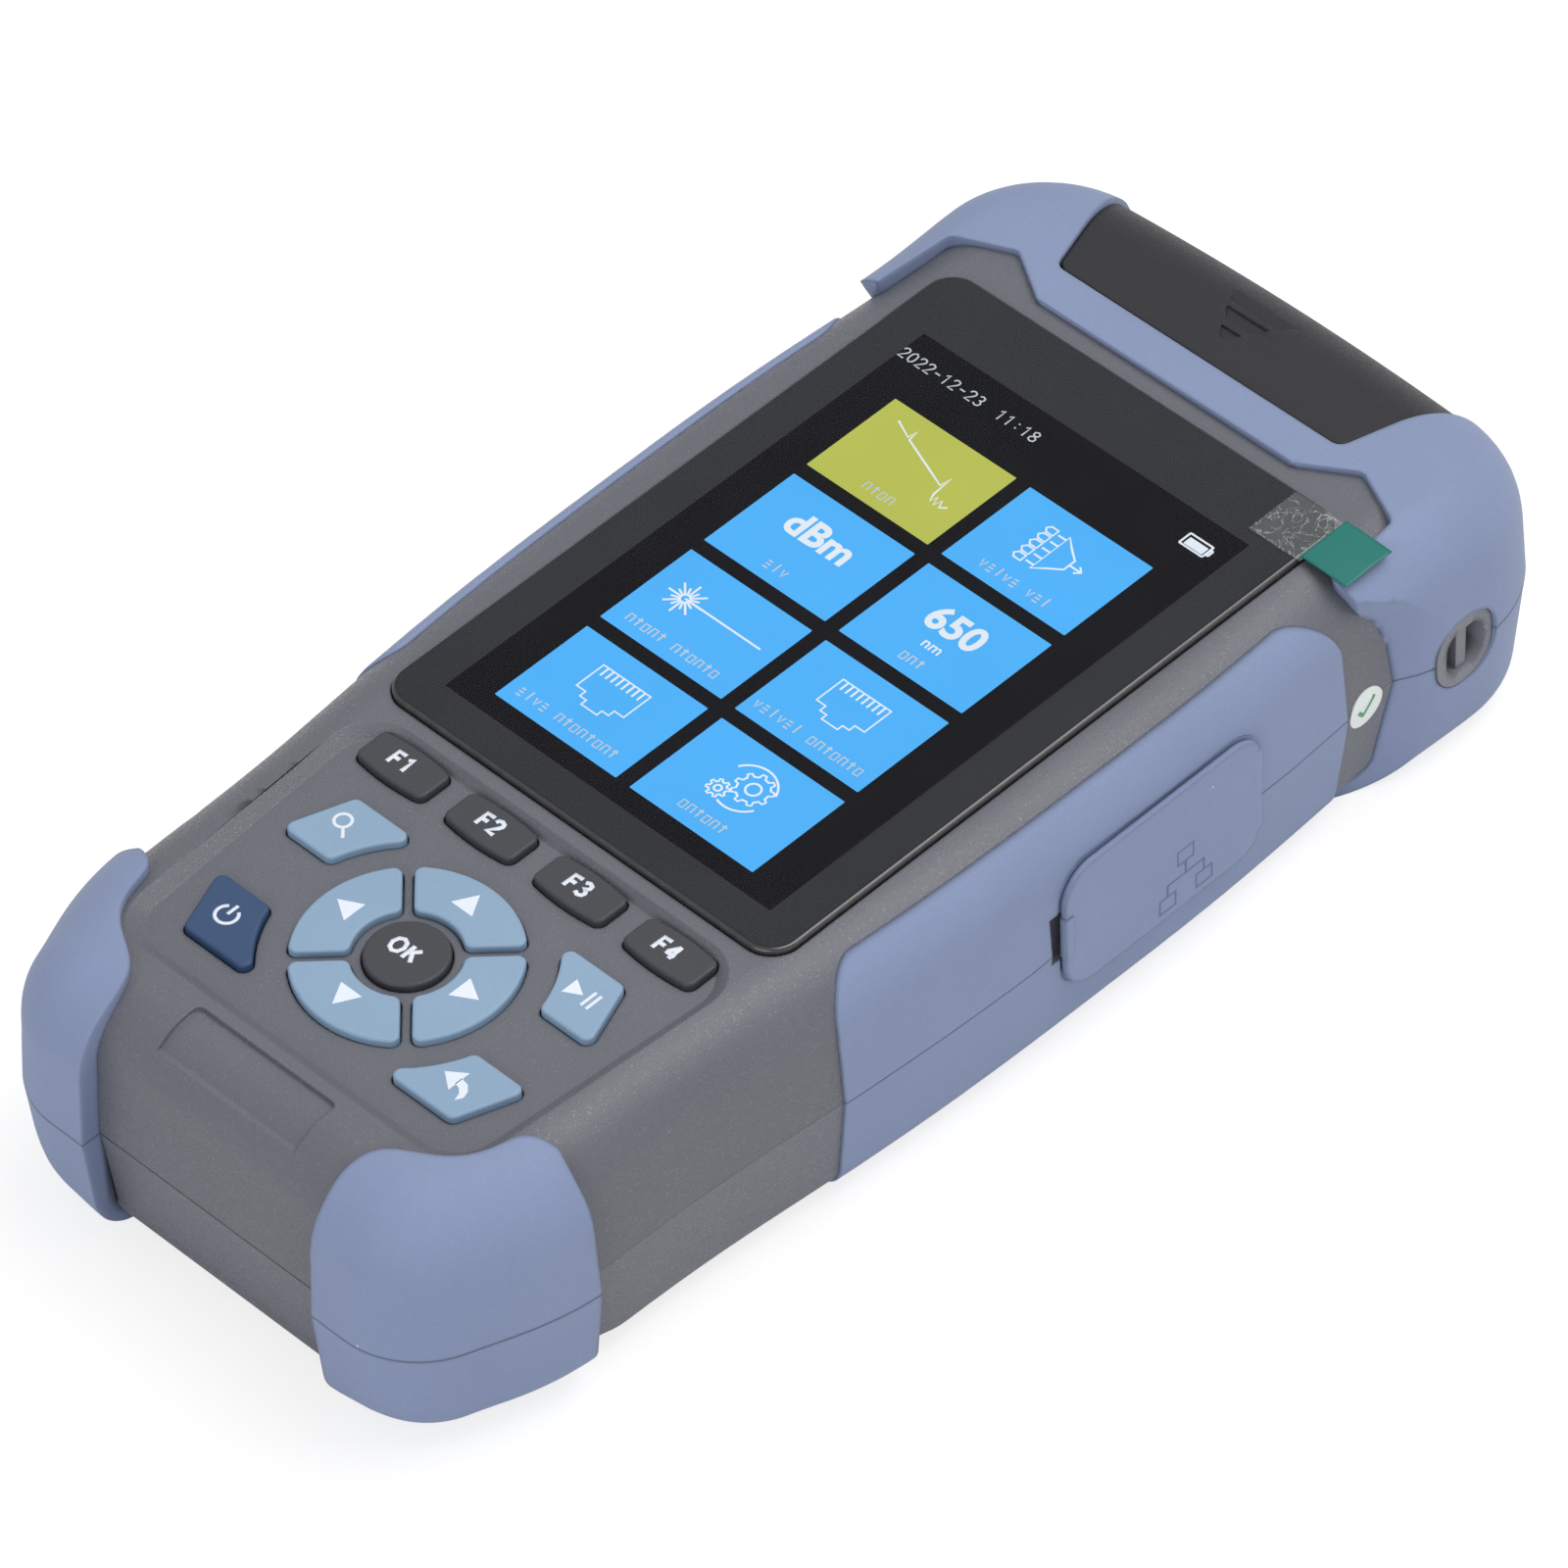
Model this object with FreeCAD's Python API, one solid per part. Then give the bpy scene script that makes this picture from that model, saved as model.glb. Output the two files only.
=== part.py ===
"""Handheld optical time domain reflectometer, modelled as the pieces it comes apart into.

The unit lies on its back: +Z comes out of the screen, +Y points at the end that carries the
optical ports, +X points at the side that carries the network port. The origin is in the middle
of the back, in the plane that the unit rests on. Lengths are millimetres.
"""
import FreeCAD, Part
import math
import os

V = FreeCAD.Vector
UP = V(0, 0, 1)

# Overall form of the hard casing
casing_front = 85.4
casing_rear = 86.8
casing_thickness = 33.0
parting_height = 16.3
wall = 2.4
front_corner_radius = 9.0
front_corner_x = 22.5
front_corner_turn = 70.0
rear_corner_radius = 13.8
rear_bow_radius = 400.0
rear_half_width = 38.4
side_stations = [
    (-74.1, 33.2), (-67.1, 35.0), (-58.1, 35.5), (-45.1, 36.0), (-30.1, 37.3), (-10.1, 38.7),
    (11.9, 39.2), (29.9, 39.2), (45.9, 38.5), (57.9, 38.0),
]
draft_up = 1.2
draft_down = 1.5
top_edge_radius = 7.0
top_end_radius = 10.8
bottom_edge_radius = 3.5

# Soft overmoulds, which stand proud of the casing
rubber_proud = 1.2
grip_proud = 0.8
bumper_proud = 2.6
guard_widening = 1.4
grip_near_y = -28.1
grip_far_y = 50.5
grip_top_height = 33.2
grip_foot_x = 26.0
bumper_inner_x = 17.6
guard_foot_x = 24.0
guard_foot_y = 74.0

# Screen
screen_y = 11.9
lens_width = 60.1
lens_length = 90.0
lens_offset_y = 2.45
lens_corner_radius = 3.7
lens_thickness = 1.6
lens_proud = 0.8
lens_gap = 0.15
gasket_thickness = 0.2
display_width = 54.4
display_length = 83.8
display_gap = 0.3
film_thickness = 0.1
film_inset = 0.6
tab_width = 7.0
tab_length = 7.5
tab_y = 55.5
tab_hold = 5.0

# Keypad
pad_y = -55.5
recess_depth = 1.2
recess_slope = 1.6
recess_far_y = -32.6
recess_near_y = -74.4
recess_far_half = 29.4
recess_near_half = 26.6
recess_corner_radius = 6.0
key_gap = 0.2
key_lip = 0.25
key_lip_thickness = 0.5
key_proud = 0.9
key_travel = 0.6
key_edge_radius = 0.35
key_corner_radius = 1.0
lip_clearance = 0.1
ok_radius = 4.8
ring_inner_radius = 6.2
ring_outer_radius = 12.8
ring_rib = 1.3
corner_key_inner_radius = 16.4
corner_key_near_x = 23.5
corner_key_far_x = 20.4
function_key_width = 10.3
function_key_height = 4.6
function_key_bulge = 0.45
function_key_pitch = 13.55
function_key_y = -36.3

# Circuit boards and what they carry
board_thickness = 1.6
dome_sheet_thickness = 0.15
dome_height = 0.3
dome_radius = 2.0
press_clearance = 0.05
board_half_width = 29.0
board_near_y = -78.0
board_far_y = 61.0
board_edge_inset = 4.8
io_board_height = 9.0
io_board_near_y = -2.0
io_board_far_y = 38.0
io_board_half_width = 33.0
battery_width = 50.0
battery_length = 66.0
battery_thickness = 14.0
battery_y = -41.0
module_width = 46.0
module_length = 21.0
module_height = 14.0
buzzer_radius = 5.0
buzzer_height = 3.0

# Case screws
screw_shank_radius = 1.25
screw_head_radius = 2.4
screw_head_height = 1.6
screw_head_seat = 4.6
screw_tip_height = 22.0
screw_clearance = 0.05
screw_post_radius = 3.6
screw_places = [(-30.0, -22.0), (30.0, -22.0), (-31.0, 48.0), (31.0, 48.0), (-24.0, -78.5), (24.0, -78.5)]
board_screw_radius = 0.9
board_screw_head_radius = 1.7
board_screw_head_height = 1.0
board_screw_length = 3.0
board_post_radius = 2.4
board_screw_places = [(-26.0, -72.6), (26.0, -72.6), (-20.0, 57.8), (20.0, 57.8)]

# Port bay and its flip cover
bay_near_y = 67.4
bay_near_half = 21.5
bay_far_half = 27.6
bay_far_y = 87.0
bay_corner_radius = 1.6
cover_gap = 0.3
cover_proud = 0.6
cover_depth = 2.0
hinge_height = 9.5
hinge_barrel_radius = 2.0
hinge_pin_radius = 0.8
hinge_fit = 0.04
hinge_clearance = 0.35
hinge_relief_angle = 40.0
hinge_relief_reach = 6.0
knuckle_centre_x = 15.0
knuckle_width = 7.0
lug_gap = 0.3
pin_half_length = 23.4
tray_wall = 1.6
tray_gap = 0.4
tray_floor_height = 6.4
tray_lip_gap = 0.4
port_height = 20.0
port_pitch = 13.0
port_back_radius = 4.0
port_bore_radius = 1.25
port_bore_depth = 9.0
port_rear_length = 5.0

# Side flaps and the sockets behind them
flap_near_y = 4.0
flap_far_y = 35.4
flap_low = 9.3
flap_high = 27.3
flap_corner_radius = 4.5
flap_outer_x = 40.8
flap_thickness = 1.7
flap_gap = 0.3
flap_plug_depth = 1.6
flap_tab_width = 7.0
flap_tab_depth = 1.6
jack_width = 15.9
jack_depth = 20.0
jack_height = 13.4
jack_mouth_width = 11.8
jack_mouth_height = 8.0
jack_mouth_depth = 13.0
jack_y = 19.7
socket_width = 9.0
socket_height = 11.0
socket_depth = 14.0
socket_bore_radius = 3.2
socket_pin_radius = 0.6
usb_width = 8.0
usb_height = 4.0
charge_y = 15.5
data_y = 24.5
light_offset = 9.0

# Lanyard eyes and the round sticker
eye_y = 67.6
eye_plate_width = 9.0
eye_plate_height = 10.0
eye_hole_width = 6.0
eye_hole_height = 6.4
eye_bar_width = 1.6
eye_depth = 5.0
eye_wall = 1.2
eye_gap = 0.1
sticker_y = 53.9
sticker_height = 15.5
sticker_radius = 2.7
sticker_thickness = 0.15

# Worked out from the sizes above
front_y = -casing_front
rear_y = casing_rear
casing_bottom = rubber_proud
face_height = casing_bottom + casing_thickness
lens_top = face_height + lens_proud
lens_bottom = lens_top - lens_thickness
lens_y = screen_y + lens_offset_y
ceiling = face_height - wall
floor = casing_bottom + wall
recess_floor = face_height - recess_depth
lip_top = ceiling - lip_clearance
lip_bottom = lip_top - key_lip_thickness
dome_top = lip_bottom - key_travel - press_clearance
board_top = dome_top - dome_height - dome_sheet_thickness
board_bottom = board_top - board_thickness
display_top = lens_bottom - gasket_thickness + 0.1
hinge_y = rear_y + cover_proud - hinge_barrel_radius - draft_down * (
    (parting_height - hinge_height) / (parting_height - casing_bottom))


def mirrored_x(shape):
    return shape.mirror(V(0, 0, 0), V(1, 0, 0))


def box(x0, x1, y0, y1, z0, z1):
    return Part.makeBox(x1 - x0, y1 - y0, z1 - z0, V(x0, y0, z0))


def cylinder(radius, z0, z1, x=0.0, y=0.0):
    return Part.makeCylinder(radius, z1 - z0, V(x, y, z0), UP)


def rounded_polygon(points, radius):
    """Closed wire in the XY plane with each corner of the polygon turned into an arc.

    The radius is one number for every corner, or a list with one for each.
    """
    corners = [V(x, y, 0) for x, y in points]
    count = len(corners)
    radii = radius if isinstance(radius, list) else [radius] * count
    arcs = []
    for i, (corner, radius) in enumerate(zip(corners, radii)):
        back = (corners[i - 1] - corner).normalize()
        on = (corners[(i + 1) % count] - corner).normalize()
        half = back.getAngle(on) / 2
        reach = radius / math.tan(half)
        middle = corner + (back + on).normalize() * (radius / math.sin(half) - radius)
        arcs.append((corner + back * reach, middle, corner + on * reach))
    edges = []
    for i, (start, middle, end) in enumerate(arcs):
        edges.append(Part.Arc(start, middle, end).toShape())
        following = arcs[(i + 1) % count][0]
        if end.distanceToPoint(following) > 1e-4:
            edges.append(Part.LineSegment(end, following).toShape())
    return Part.Wire(edges)


def plate(wire, z0, z1):
    """Solid between two heights above a wire drawn in the XY plane."""
    face = Part.Face(wire)
    face.translate(V(0, 0, z0))
    return face.extrude(V(0, 0, z1 - z0))


def rounded_box(width, length, radius, z0, z1, x=0.0, y=0.0):
    a, b = width / 2, length / 2
    solid = plate(rounded_polygon([(-a, -b), (a, -b), (a, b), (-a, b)], radius), z0, z1)
    solid.translate(V(x, y, 0))
    return solid


def side_prism(points, radius, x0, x1):
    """Solid between two values of X, from an outline given as (y, z) points."""
    solid = plate(rounded_polygon(points, radius), x0, x1)
    solid.rotate(V(0, 0, 0), V(1, 1, 1), 120)
    return solid


def casing_outline(z, grow, end_grow, widen):
    """Plan outline of the casing at one height.

    A straight front, round front corners, waisted flanks, round rear corners and a slightly
    bowed rear, all meeting in line. It grows outwards all round from its size at the parting
    line, by a further amount at the rear end, and is widened sideways along its whole length.
    """
    turn = math.radians(front_corner_turn)
    front_r = front_corner_radius + grow
    front_c = V(front_corner_x + widen, front_y + front_corner_radius, z)
    rear_r = rear_corner_radius + widen + grow
    bow_radius = rear_bow_radius + grow
    bow_c = V(0, rear_y + end_grow - rear_bow_radius, z)
    rear_cx = rear_half_width - rear_corner_radius
    between = bow_radius - rear_r
    rear_c = bow_c + V(rear_cx, math.sqrt(between * between - rear_cx * rear_cx), 0)
    corner_end = math.pi / 2 - math.asin(rear_cx / between)

    def on_front(angle):
        return front_c + V(math.sin(angle), -math.cos(angle), 0) * front_r

    def on_rear(angle):
        return rear_c + V(math.cos(angle), math.sin(angle), 0) * rear_r

    flank = Part.BSplineCurve()
    stations = [V(x + widen + grow, y, z) for y, x in side_stations]
    flank.interpolate(Points=[on_front(turn)] + stations + [on_rear(0)], Scale=False,
                      InitialTangent=V(math.cos(turn), math.sin(turn), 0), FinalTangent=V(0, 1, 0))
    right = [
        Part.Arc(on_front(0), on_front(turn / 2), on_front(turn)).toShape(),
        flank.toShape(),
        Part.Arc(on_rear(0), on_rear(corner_end / 2), on_rear(corner_end)).toShape(),
    ]
    left = [mirrored_x(edge) for edge in right]
    start, end = on_front(0), on_rear(corner_end)
    rear = Part.Arc(end, bow_c + V(0, bow_radius, 0), V(-end.x, end.y, z)).toShape()
    front = Part.LineSegment(V(-start.x, start.y, z), start).toShape()
    return Part.Wire(Part.__sortEdges__([front, rear] + right + left))


def roll_inset(depth, radius):
    """How far a round edge has turned in at a depth below the face that it rolls into."""
    if depth >= radius:
        return 0.0
    return radius - math.sqrt(radius * radius - (radius - depth) ** 2)


def rounded_half(grow, widen, draft, far_z, side_radius, end_radius):
    """One half of the casing's form: drafted walls that roll over to a flat far face.

    The sides roll over with one radius and the rear end with a larger one. Growing the form
    moves every wall outwards by the same amount, so that skins and walls cut from two of
    these forms have an even thickness.
    """
    way = 1 if far_z > parting_height else -1
    height = abs(far_z - parting_height)
    steps = 6
    sections = []
    for i in range(steps + 1):
        depth = end_radius * (1 - math.sin(math.pi / 2 * i / steps))
        lean = draft * (height - depth) / height
        side = roll_inset(depth, side_radius) + lean
        end = roll_inset(depth, end_radius) + lean
        sections.append(casing_outline(far_z - way * depth, grow - side, side - end, widen))
    base = casing_outline(parting_height, grow, 0, widen)
    walls = Part.makeLoft([base, sections[0]], True, True)
    return walls.fuse(Part.makeLoft(sections, True, False)).Solids[0]


halves = {}


def upper_half(grow, lift=None, widen=0.0):
    """Upper form grown in plan, and lifted as much unless told otherwise."""
    key = ("upper", grow, lift, widen)
    if key not in halves:
        far_z = face_height + (grow if lift is None else lift)
        halves[key] = rounded_half(grow, widen, draft_up, far_z, top_edge_radius + grow,
                                   top_end_radius + grow)
    return halves[key]


def lower_half(grow, lift=None, widen=0.0):
    """Lower form grown in plan, and lowered as much unless told otherwise."""
    key = ("lower", grow, lift, widen)
    if key not in halves:
        far_z = casing_bottom - (grow if lift is None else lift)
        radius = bottom_edge_radius + grow
        halves[key] = rounded_half(grow, widen, draft_down, far_z, radius, radius)
    return halves[key]


def skin(half, outside, inside, region):
    """Layer between two offsets of one half of the casing, kept within a region."""
    return half(*outside).common(region).cut(half(*inside))


def bay_outline(inset):
    """Plan of the opening in the ports end, shared by the cover, the bay and the overmould."""
    slope = (bay_far_half - bay_near_half) / (bay_far_y - bay_near_y)
    side = inset * math.hypot(1, slope)
    near_y = bay_near_y + inset
    near = bay_near_half + slope * inset - side
    far = bay_far_half - side
    end = bay_far_y + casing_thickness
    return rounded_polygon(
        [(-near, near_y), (near, near_y), (far, bay_far_y), (far, end), (-far, end), (-far, bay_far_y)],
        bay_corner_radius)


def bay_opening(inset):
    return plate(bay_outline(inset), hinge_height - hinge_barrel_radius - hinge_clearance, lens_top + 5)


def barrel(radius, x0, x1):
    return Part.makeCylinder(radius, x1 - x0, V(x0, hinge_y, hinge_height), V(1, 0, 0))


def hinge_relief():
    """Slope under the hinge that lets the open cover lean past the end."""
    reach = bay_far_half + cover_gap
    slope = math.radians(hinge_relief_angle)
    radius = hinge_barrel_radius + hinge_clearance
    near = V(-math.sin(slope), -math.cos(slope), 0) * radius
    far = near + V(math.cos(slope), -math.sin(slope), 0) * hinge_relief_reach
    points = [(hinge_y, hinge_height), (hinge_y + near.x, hinge_height + near.y),
              (hinge_y + far.x, hinge_height + far.y), (hinge_y + far.x, hinge_height)]
    return side_prism(points, 0.2, -reach, reach)


def hinge_notch():
    """Room for the barrel and for the swing of the cover."""
    reach = bay_far_half + cover_gap
    return barrel(hinge_barrel_radius + hinge_clearance, -reach, reach).fuse(hinge_relief())


def flap_outline_points(gap):
    return [(flap_near_y - gap, flap_low - gap), (flap_far_y + gap, flap_low - gap),
            (flap_far_y + gap, flap_high + gap), (flap_near_y - gap, flap_high + gap)]


def flap_pocket():
    """Room for a closed flap, and the way through the wall to the sockets behind it."""
    seat = side_prism(
        flap_outline_points(flap_gap), flap_corner_radius, flap_outer_x - flap_thickness - flap_gap, 60)
    middle_y = (flap_near_y + flap_far_y) / 2
    middle_z = (flap_low + flap_high) / 2
    a, b = jack_width / 2 + 1.4, jack_height / 2 + 1.3
    window = side_prism(
        [(middle_y - a, middle_z - b), (middle_y + a, middle_z - b),
         (middle_y + a, middle_z + b), (middle_y - a, middle_z + b)], 1.5, 30, 60)
    thumb = box(30 + 8, 60, flap_near_y - flap_tab_depth, flap_near_y + 2,
                middle_z - flap_tab_width / 2, middle_z + flap_tab_width / 2)
    return seat.fuse(window).fuse(thumb)


def eye_pocket(gap):
    """Stadium-shaped hole in the side of the head for a lanyard eye."""
    a = eye_plate_width / 2 + gap
    b = eye_plate_height / 2 + gap
    return side_prism(
        [(eye_y - a, parting_height - b), (eye_y + a, parting_height - b),
         (eye_y + a, parting_height + b), (eye_y - a, parting_height + b)],
        a - 0.3, rear_half_width - eye_depth - gap, 60)


def both_sides(shape):
    return shape.fuse(mirrored_x(shape))


def grip_region():
    """Side view of a grip, with its two top corners rounded."""
    low = casing_bottom - 10
    points = [(grip_near_y, low), (grip_far_y - 1.6, low), (grip_far_y, parting_height - 2),
              (grip_far_y - 0.6, grip_top_height), (grip_near_y, grip_top_height)]
    return side_prism(points, [1.0, 1.0, 20.0, 8.0, 5.5], grip_foot_x, 60)


def bumper_region():
    """Plan of a front bumper, with the two soft lobes that reach onto the face."""
    edge = Part.BSplineCurve()
    edge.interpolate(Points=[
        V(bumper_inner_x, front_y, 0), V(bumper_inner_x + 0.1, front_y + 4.0, 0),
        V(bumper_inner_x + 1.4, front_y + 7.4, 0), V(bumper_inner_x + 4.2, front_y + 9.6, 0),
        V(bumper_inner_x + 7.7, front_y + 12.0, 0), V(bumper_inner_x + 10.0, front_y + 16.2, 0),
        V(bumper_inner_x + 11.4, front_y + 19.6, 0), V(bumper_inner_x + 14.2, front_y + 20.9, 0),
        V(bumper_inner_x + 17.4, front_y + 20.4, 0)],
        InitialTangent=V(0, 1, 0), FinalTangent=V(1, -0.1, 0))
    start, end = edge.value(edge.FirstParameter), edge.value(edge.LastParameter)
    outside = [end, V(60, end.y, 0), V(60, front_y - 10, 0), V(start.x, front_y - 10, 0), start]
    lines = [Part.LineSegment(a, b).toShape() for a, b in zip(outside, outside[1:])]
    return plate(Part.Wire([edge.toShape()] + lines), -5, lens_top + 5)


def guard_region():
    """Everything that the end overmould covers, above and below the parting line."""
    outline = Part.BSplineCurve()
    outline.interpolate(Points=[
        V(51.9, 36.0, 0), V(52.8, 31.5, 0), V(56.0, 24.0, 0), V(57.3, parting_height, 0),
        V(56.6, 10.5, 0), V(54.4, 6.4, 0), V(51.4, 5.0, 0)])
    top = outline.value(outline.FirstParameter)
    low = outline.value(outline.LastParameter)
    around = [low, V(50.8, 5.0, 0), V(50.8, -5, 0), V(110, -5, 0), V(110, 50, 0), V(top.x, 50, 0), top]
    lines = [Part.LineSegment(a, b).toShape() for a, b in zip(around, around[1:])]
    solid = Part.Face(Part.Wire([outline.toShape()] + lines)).extrude(V(0, 0, 120))
    solid.translate(V(0, 0, -60))
    solid.rotate(V(0, 0, 0), V(1, 1, 1), 120)
    half = [(0, 40), (34.3, 40), (34.5, 53.8), (33.7, 62.8), (26.2, 66.3), (19.4, 62.1), (0, 62.1)]
    face_zone = half[1:-1] + [(-x, y) for x, y in reversed(half[1:-1])]
    solid = solid.cut(plate(rounded_polygon(face_zone, 1.2), 22, lens_top + 20))
    foot = [(-guard_foot_x, 0), (guard_foot_x, 0), (guard_foot_x, guard_foot_y), (-guard_foot_x, guard_foot_y)]
    return solid.cut(plate(rounded_polygon(foot, 6), -5, floor))


def key_outline(name):
    """Plan of one key cap as a face at height zero."""
    ring = Part.Face(Part.Wire(Part.makeCircle(ring_outer_radius)))
    ring = ring.cut(Part.Face(Part.Wire(Part.makeCircle(ring_inner_radius))))
    ring.translate(V(0, pad_y, 0))
    quarter_turns = {"key_right": 0, "key_up": 90, "key_left": 180, "key_down": 270}
    if name == "key_ok":
        return Part.Face(Part.Wire(Part.makeCircle(ok_radius, V(0, pad_y, 0))))
    if name in quarter_turns:
        apex = ring_rib / math.sqrt(2)
        wedge = Part.Face(Part.makePolygon([V(apex, 0, 0), V(30 + apex, -30, 0), V(30 + apex, 30, 0),
                                            V(apex, 0, 0)]))
        wedge.rotate(V(0, 0, 0), UP, quarter_turns[name])
        wedge.translate(V(0, pad_y, 0))
        return ring.common(wedge).Faces[0]
    if name.startswith("key_f"):
        number = int(name[-1])
        x = (number - 2.5) * function_key_pitch
        a, b = function_key_width / 2, function_key_height / 2
        wire = Part.Wire([
            Part.Arc(V(x - a, function_key_y - b, 0), V(x, function_key_y - b - function_key_bulge, 0),
                     V(x + a, function_key_y - b, 0)).toShape(),
            Part.LineSegment(V(x + a, function_key_y - b, 0), V(x + a, function_key_y + b, 0)).toShape(),
            Part.Arc(V(x + a, function_key_y + b, 0), V(x, function_key_y + b + function_key_bulge, 0),
                     V(x - a, function_key_y + b, 0)).toShape(),
            Part.LineSegment(V(x - a, function_key_y + b, 0), V(x - a, function_key_y - b, 0)).toShape(),
        ])
        return Part.Face(wire)
    side, near_y, far_y = corner_keys[name]
    corners = [(0, near_y), (corner_key_near_x, near_y), (corner_key_far_x, far_y), (0, far_y)]
    points = [V(side * x, y, 0) for x, y in corners]
    face = Part.Face(Part.makePolygon(points + points[:1]))
    disc = Part.Face(Part.Wire(Part.makeCircle(corner_key_inner_radius, V(0, pad_y, 0))))
    cut = face.cut(disc)
    return max(cut.Faces, key=lambda f: side * f.CenterOfMass.x)


corner_keys = {
    "key_zoom": (-1, -51.6, -43.1),
    "key_run": (1, -51.6, -43.1),
    "key_power": (-1, -60.6, -69.0),
    "key_back": (1, -60.6, -69.0),
}
key_names = ["key_f1", "key_f2", "key_f3", "key_f4", "key_zoom", "key_run", "key_power", "key_back",
             "key_up", "key_right", "key_down", "key_left", "key_ok"]


def upright_edges(solid):
    return [e for e in solid.Edges if len(e.Vertexes) == 2
            and abs(e.Vertexes[0].X - e.Vertexes[1].X) < 1e-5
            and abs(e.Vertexes[0].Y - e.Vertexes[1].Y) < 1e-5
            and abs(e.Vertexes[0].Z - e.Vertexes[1].Z) > 1e-3]


def rounded_key_body(name, grow, z0, z1):
    """Cap outline grown by an offset and with its upright corners rounded."""
    face = key_outline(name)
    face.translate(V(0, 0, z0))
    solid = face.extrude(V(0, 0, z1 - z0))
    corners = upright_edges(solid)
    if name != "key_ok":
        solid = solid.makeFillet(key_corner_radius, corners)
    if grow:
        base = [f for f in solid.Faces if abs(f.CenterOfMass.z - z0) < 1e-6][0]
        grown = Part.Face(base.OuterWire.makeOffset2D(grow))
        solid = grown.extrude(V(0, 0, z1 - z0))
    return solid


def make_key(name):
    top = recess_floor + key_proud
    cap = rounded_key_body(name, 0, lip_top - 0.1, top)
    rim = [e for e in cap.Edges if all(abs(v.Z - top) < 1e-4 for v in e.Vertexes)]
    cap = cap.makeFillet(key_edge_radius, rim)
    lip = rounded_key_body(name, key_gap + key_lip, lip_bottom, lip_top)
    return cap.fuse(lip).removeSplitter()


def key_apertures():
    tools = [rounded_key_body(name, key_gap, floor, lens_top) for name in key_names]
    return tools[0].fuse(tools[1:])


def keypad_recess():
    def rim(inset):
        far_y, near_y = recess_far_y - inset * 0.6, recess_near_y + inset
        a, b = recess_far_half - inset, recess_near_half - inset
        return rounded_polygon([(-b, near_y), (b, near_y), (a, far_y), (-a, far_y)],
                               recess_corner_radius - inset * 0.5)
    low = rim(recess_slope)
    low.translate(V(0, 0, recess_floor))
    high = rim(0)
    high.translate(V(0, 0, face_height + 0.02))
    return Part.makeLoft([low, high], True, True)


def label_recess():
    depth = 0.5
    half_width = 10.5
    far_y = -75.9
    zone = rounded_polygon([(-half_width, far_y - 30), (half_width, far_y - 30),
                            (half_width, far_y), (-half_width, far_y)], 0.8)
    low_edge = face_height - 2.2
    return skin(upper_half, [0], [-depth], plate(zone, low_edge, lens_top))


def make_front_shell():
    shell = upper_half(0).cut(upper_half(-wall))
    for x, y in screw_places:
        post = cylinder(screw_post_radius, parting_height + 0.2, ceiling + 0.5, x, y)
        shell = shell.fuse(post.common(upper_half(-0.5)))
    for x, y in board_screw_places:
        shell = shell.fuse(cylinder(board_post_radius, board_top, ceiling + 0.5, x, y))
    for x, y in screw_places:
        shell = shell.cut(cylinder(screw_shank_radius + screw_clearance, 0, screw_tip_height + 0.6, x, y))
    for x, y in board_screw_places:
        shell = shell.cut(cylinder(board_screw_radius + screw_clearance, 0,
                                   board_bottom + board_screw_length + 0.2, x, y))
    lens_seat = rounded_box(lens_width + 2 * lens_gap, lens_length + 2 * lens_gap,
                            lens_corner_radius + lens_gap, lens_bottom - gasket_thickness, lens_top + 2,
                            0, lens_y)
    window = box(-display_width / 2 - display_gap, display_width / 2 + display_gap,
                 screen_y - display_length / 2 - display_gap, screen_y + display_length / 2 + display_gap,
                 floor, lens_top)
    tools = [lens_seat, window, keypad_recess(), label_recess(), key_apertures(),
             bay_opening(0), both_sides(flap_pocket()), both_sides(eye_pocket(eye_gap))]
    for tool in tools:
        shell = shell.cut(tool)
    return shell


def make_rear_shell():
    shell = lower_half(0).cut(lower_half(-wall))
    for x, y in screw_places:
        post = cylinder(screw_post_radius, floor - 0.5, parting_height, x, y)
        shell = shell.fuse(post.common(lower_half(-0.5)))
    for x, y in io_post_places():
        shell = shell.fuse(cylinder(board_post_radius, floor - 0.5, io_board_height, x, y))
    reach = bay_far_half + cover_gap
    lip = box(-reach, reach, hinge_y - 2.6, rear_y - 0.6, floor - 1.0,
              hinge_height - hinge_barrel_radius - hinge_clearance)
    shell = shell.fuse(lip.common(lower_half(-0.6)))
    for x, y in screw_places:
        shell = shell.cut(cylinder(screw_head_radius + 0.4, -1, screw_head_seat, x, y))
        shell = shell.cut(cylinder(screw_shank_radius + screw_clearance, 0, parting_height + 1, x, y))
    for x, y in io_post_places():
        shell = shell.cut(cylinder(board_screw_radius + screw_clearance,
                                   io_board_height + board_thickness - board_screw_length - 0.2, 30, x, y))
    for tool in [bay_opening(0), hinge_notch(), both_sides(flap_pocket()), both_sides(eye_pocket(eye_gap))]:
        shell = shell.cut(tool)
    web_low = hinge_height - hinge_barrel_radius - hinge_clearance - 0.5
    for x0, x1 in lug_spans():
        lug = barrel(hinge_barrel_radius, x0, x1)
        web = box(x0, x1, hinge_y - hinge_barrel_radius, hinge_y, web_low, hinge_height)
        shell = shell.fuse(lug.fuse(web.cut(hinge_relief())))
    return shell.cut(barrel(hinge_pin_radius, -pin_half_length, pin_half_length))


def lug_spans():
    """X ranges of the casing's hinge lugs, on each side of the cover's two knuckles."""
    inner = knuckle_centre_x - knuckle_width / 2 - lug_gap
    outer = knuckle_centre_x + knuckle_width / 2 + lug_gap
    return [(-pin_half_length, -outer), (-inner, inner), (outer, pin_half_length)]


def io_post_places():
    inset = 3.0
    x = io_board_half_width - inset
    return [(sx * x * 0.5, y) for sx in (-1, 1)
            for y in (io_board_near_y + inset, io_board_far_y - inset)]


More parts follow.
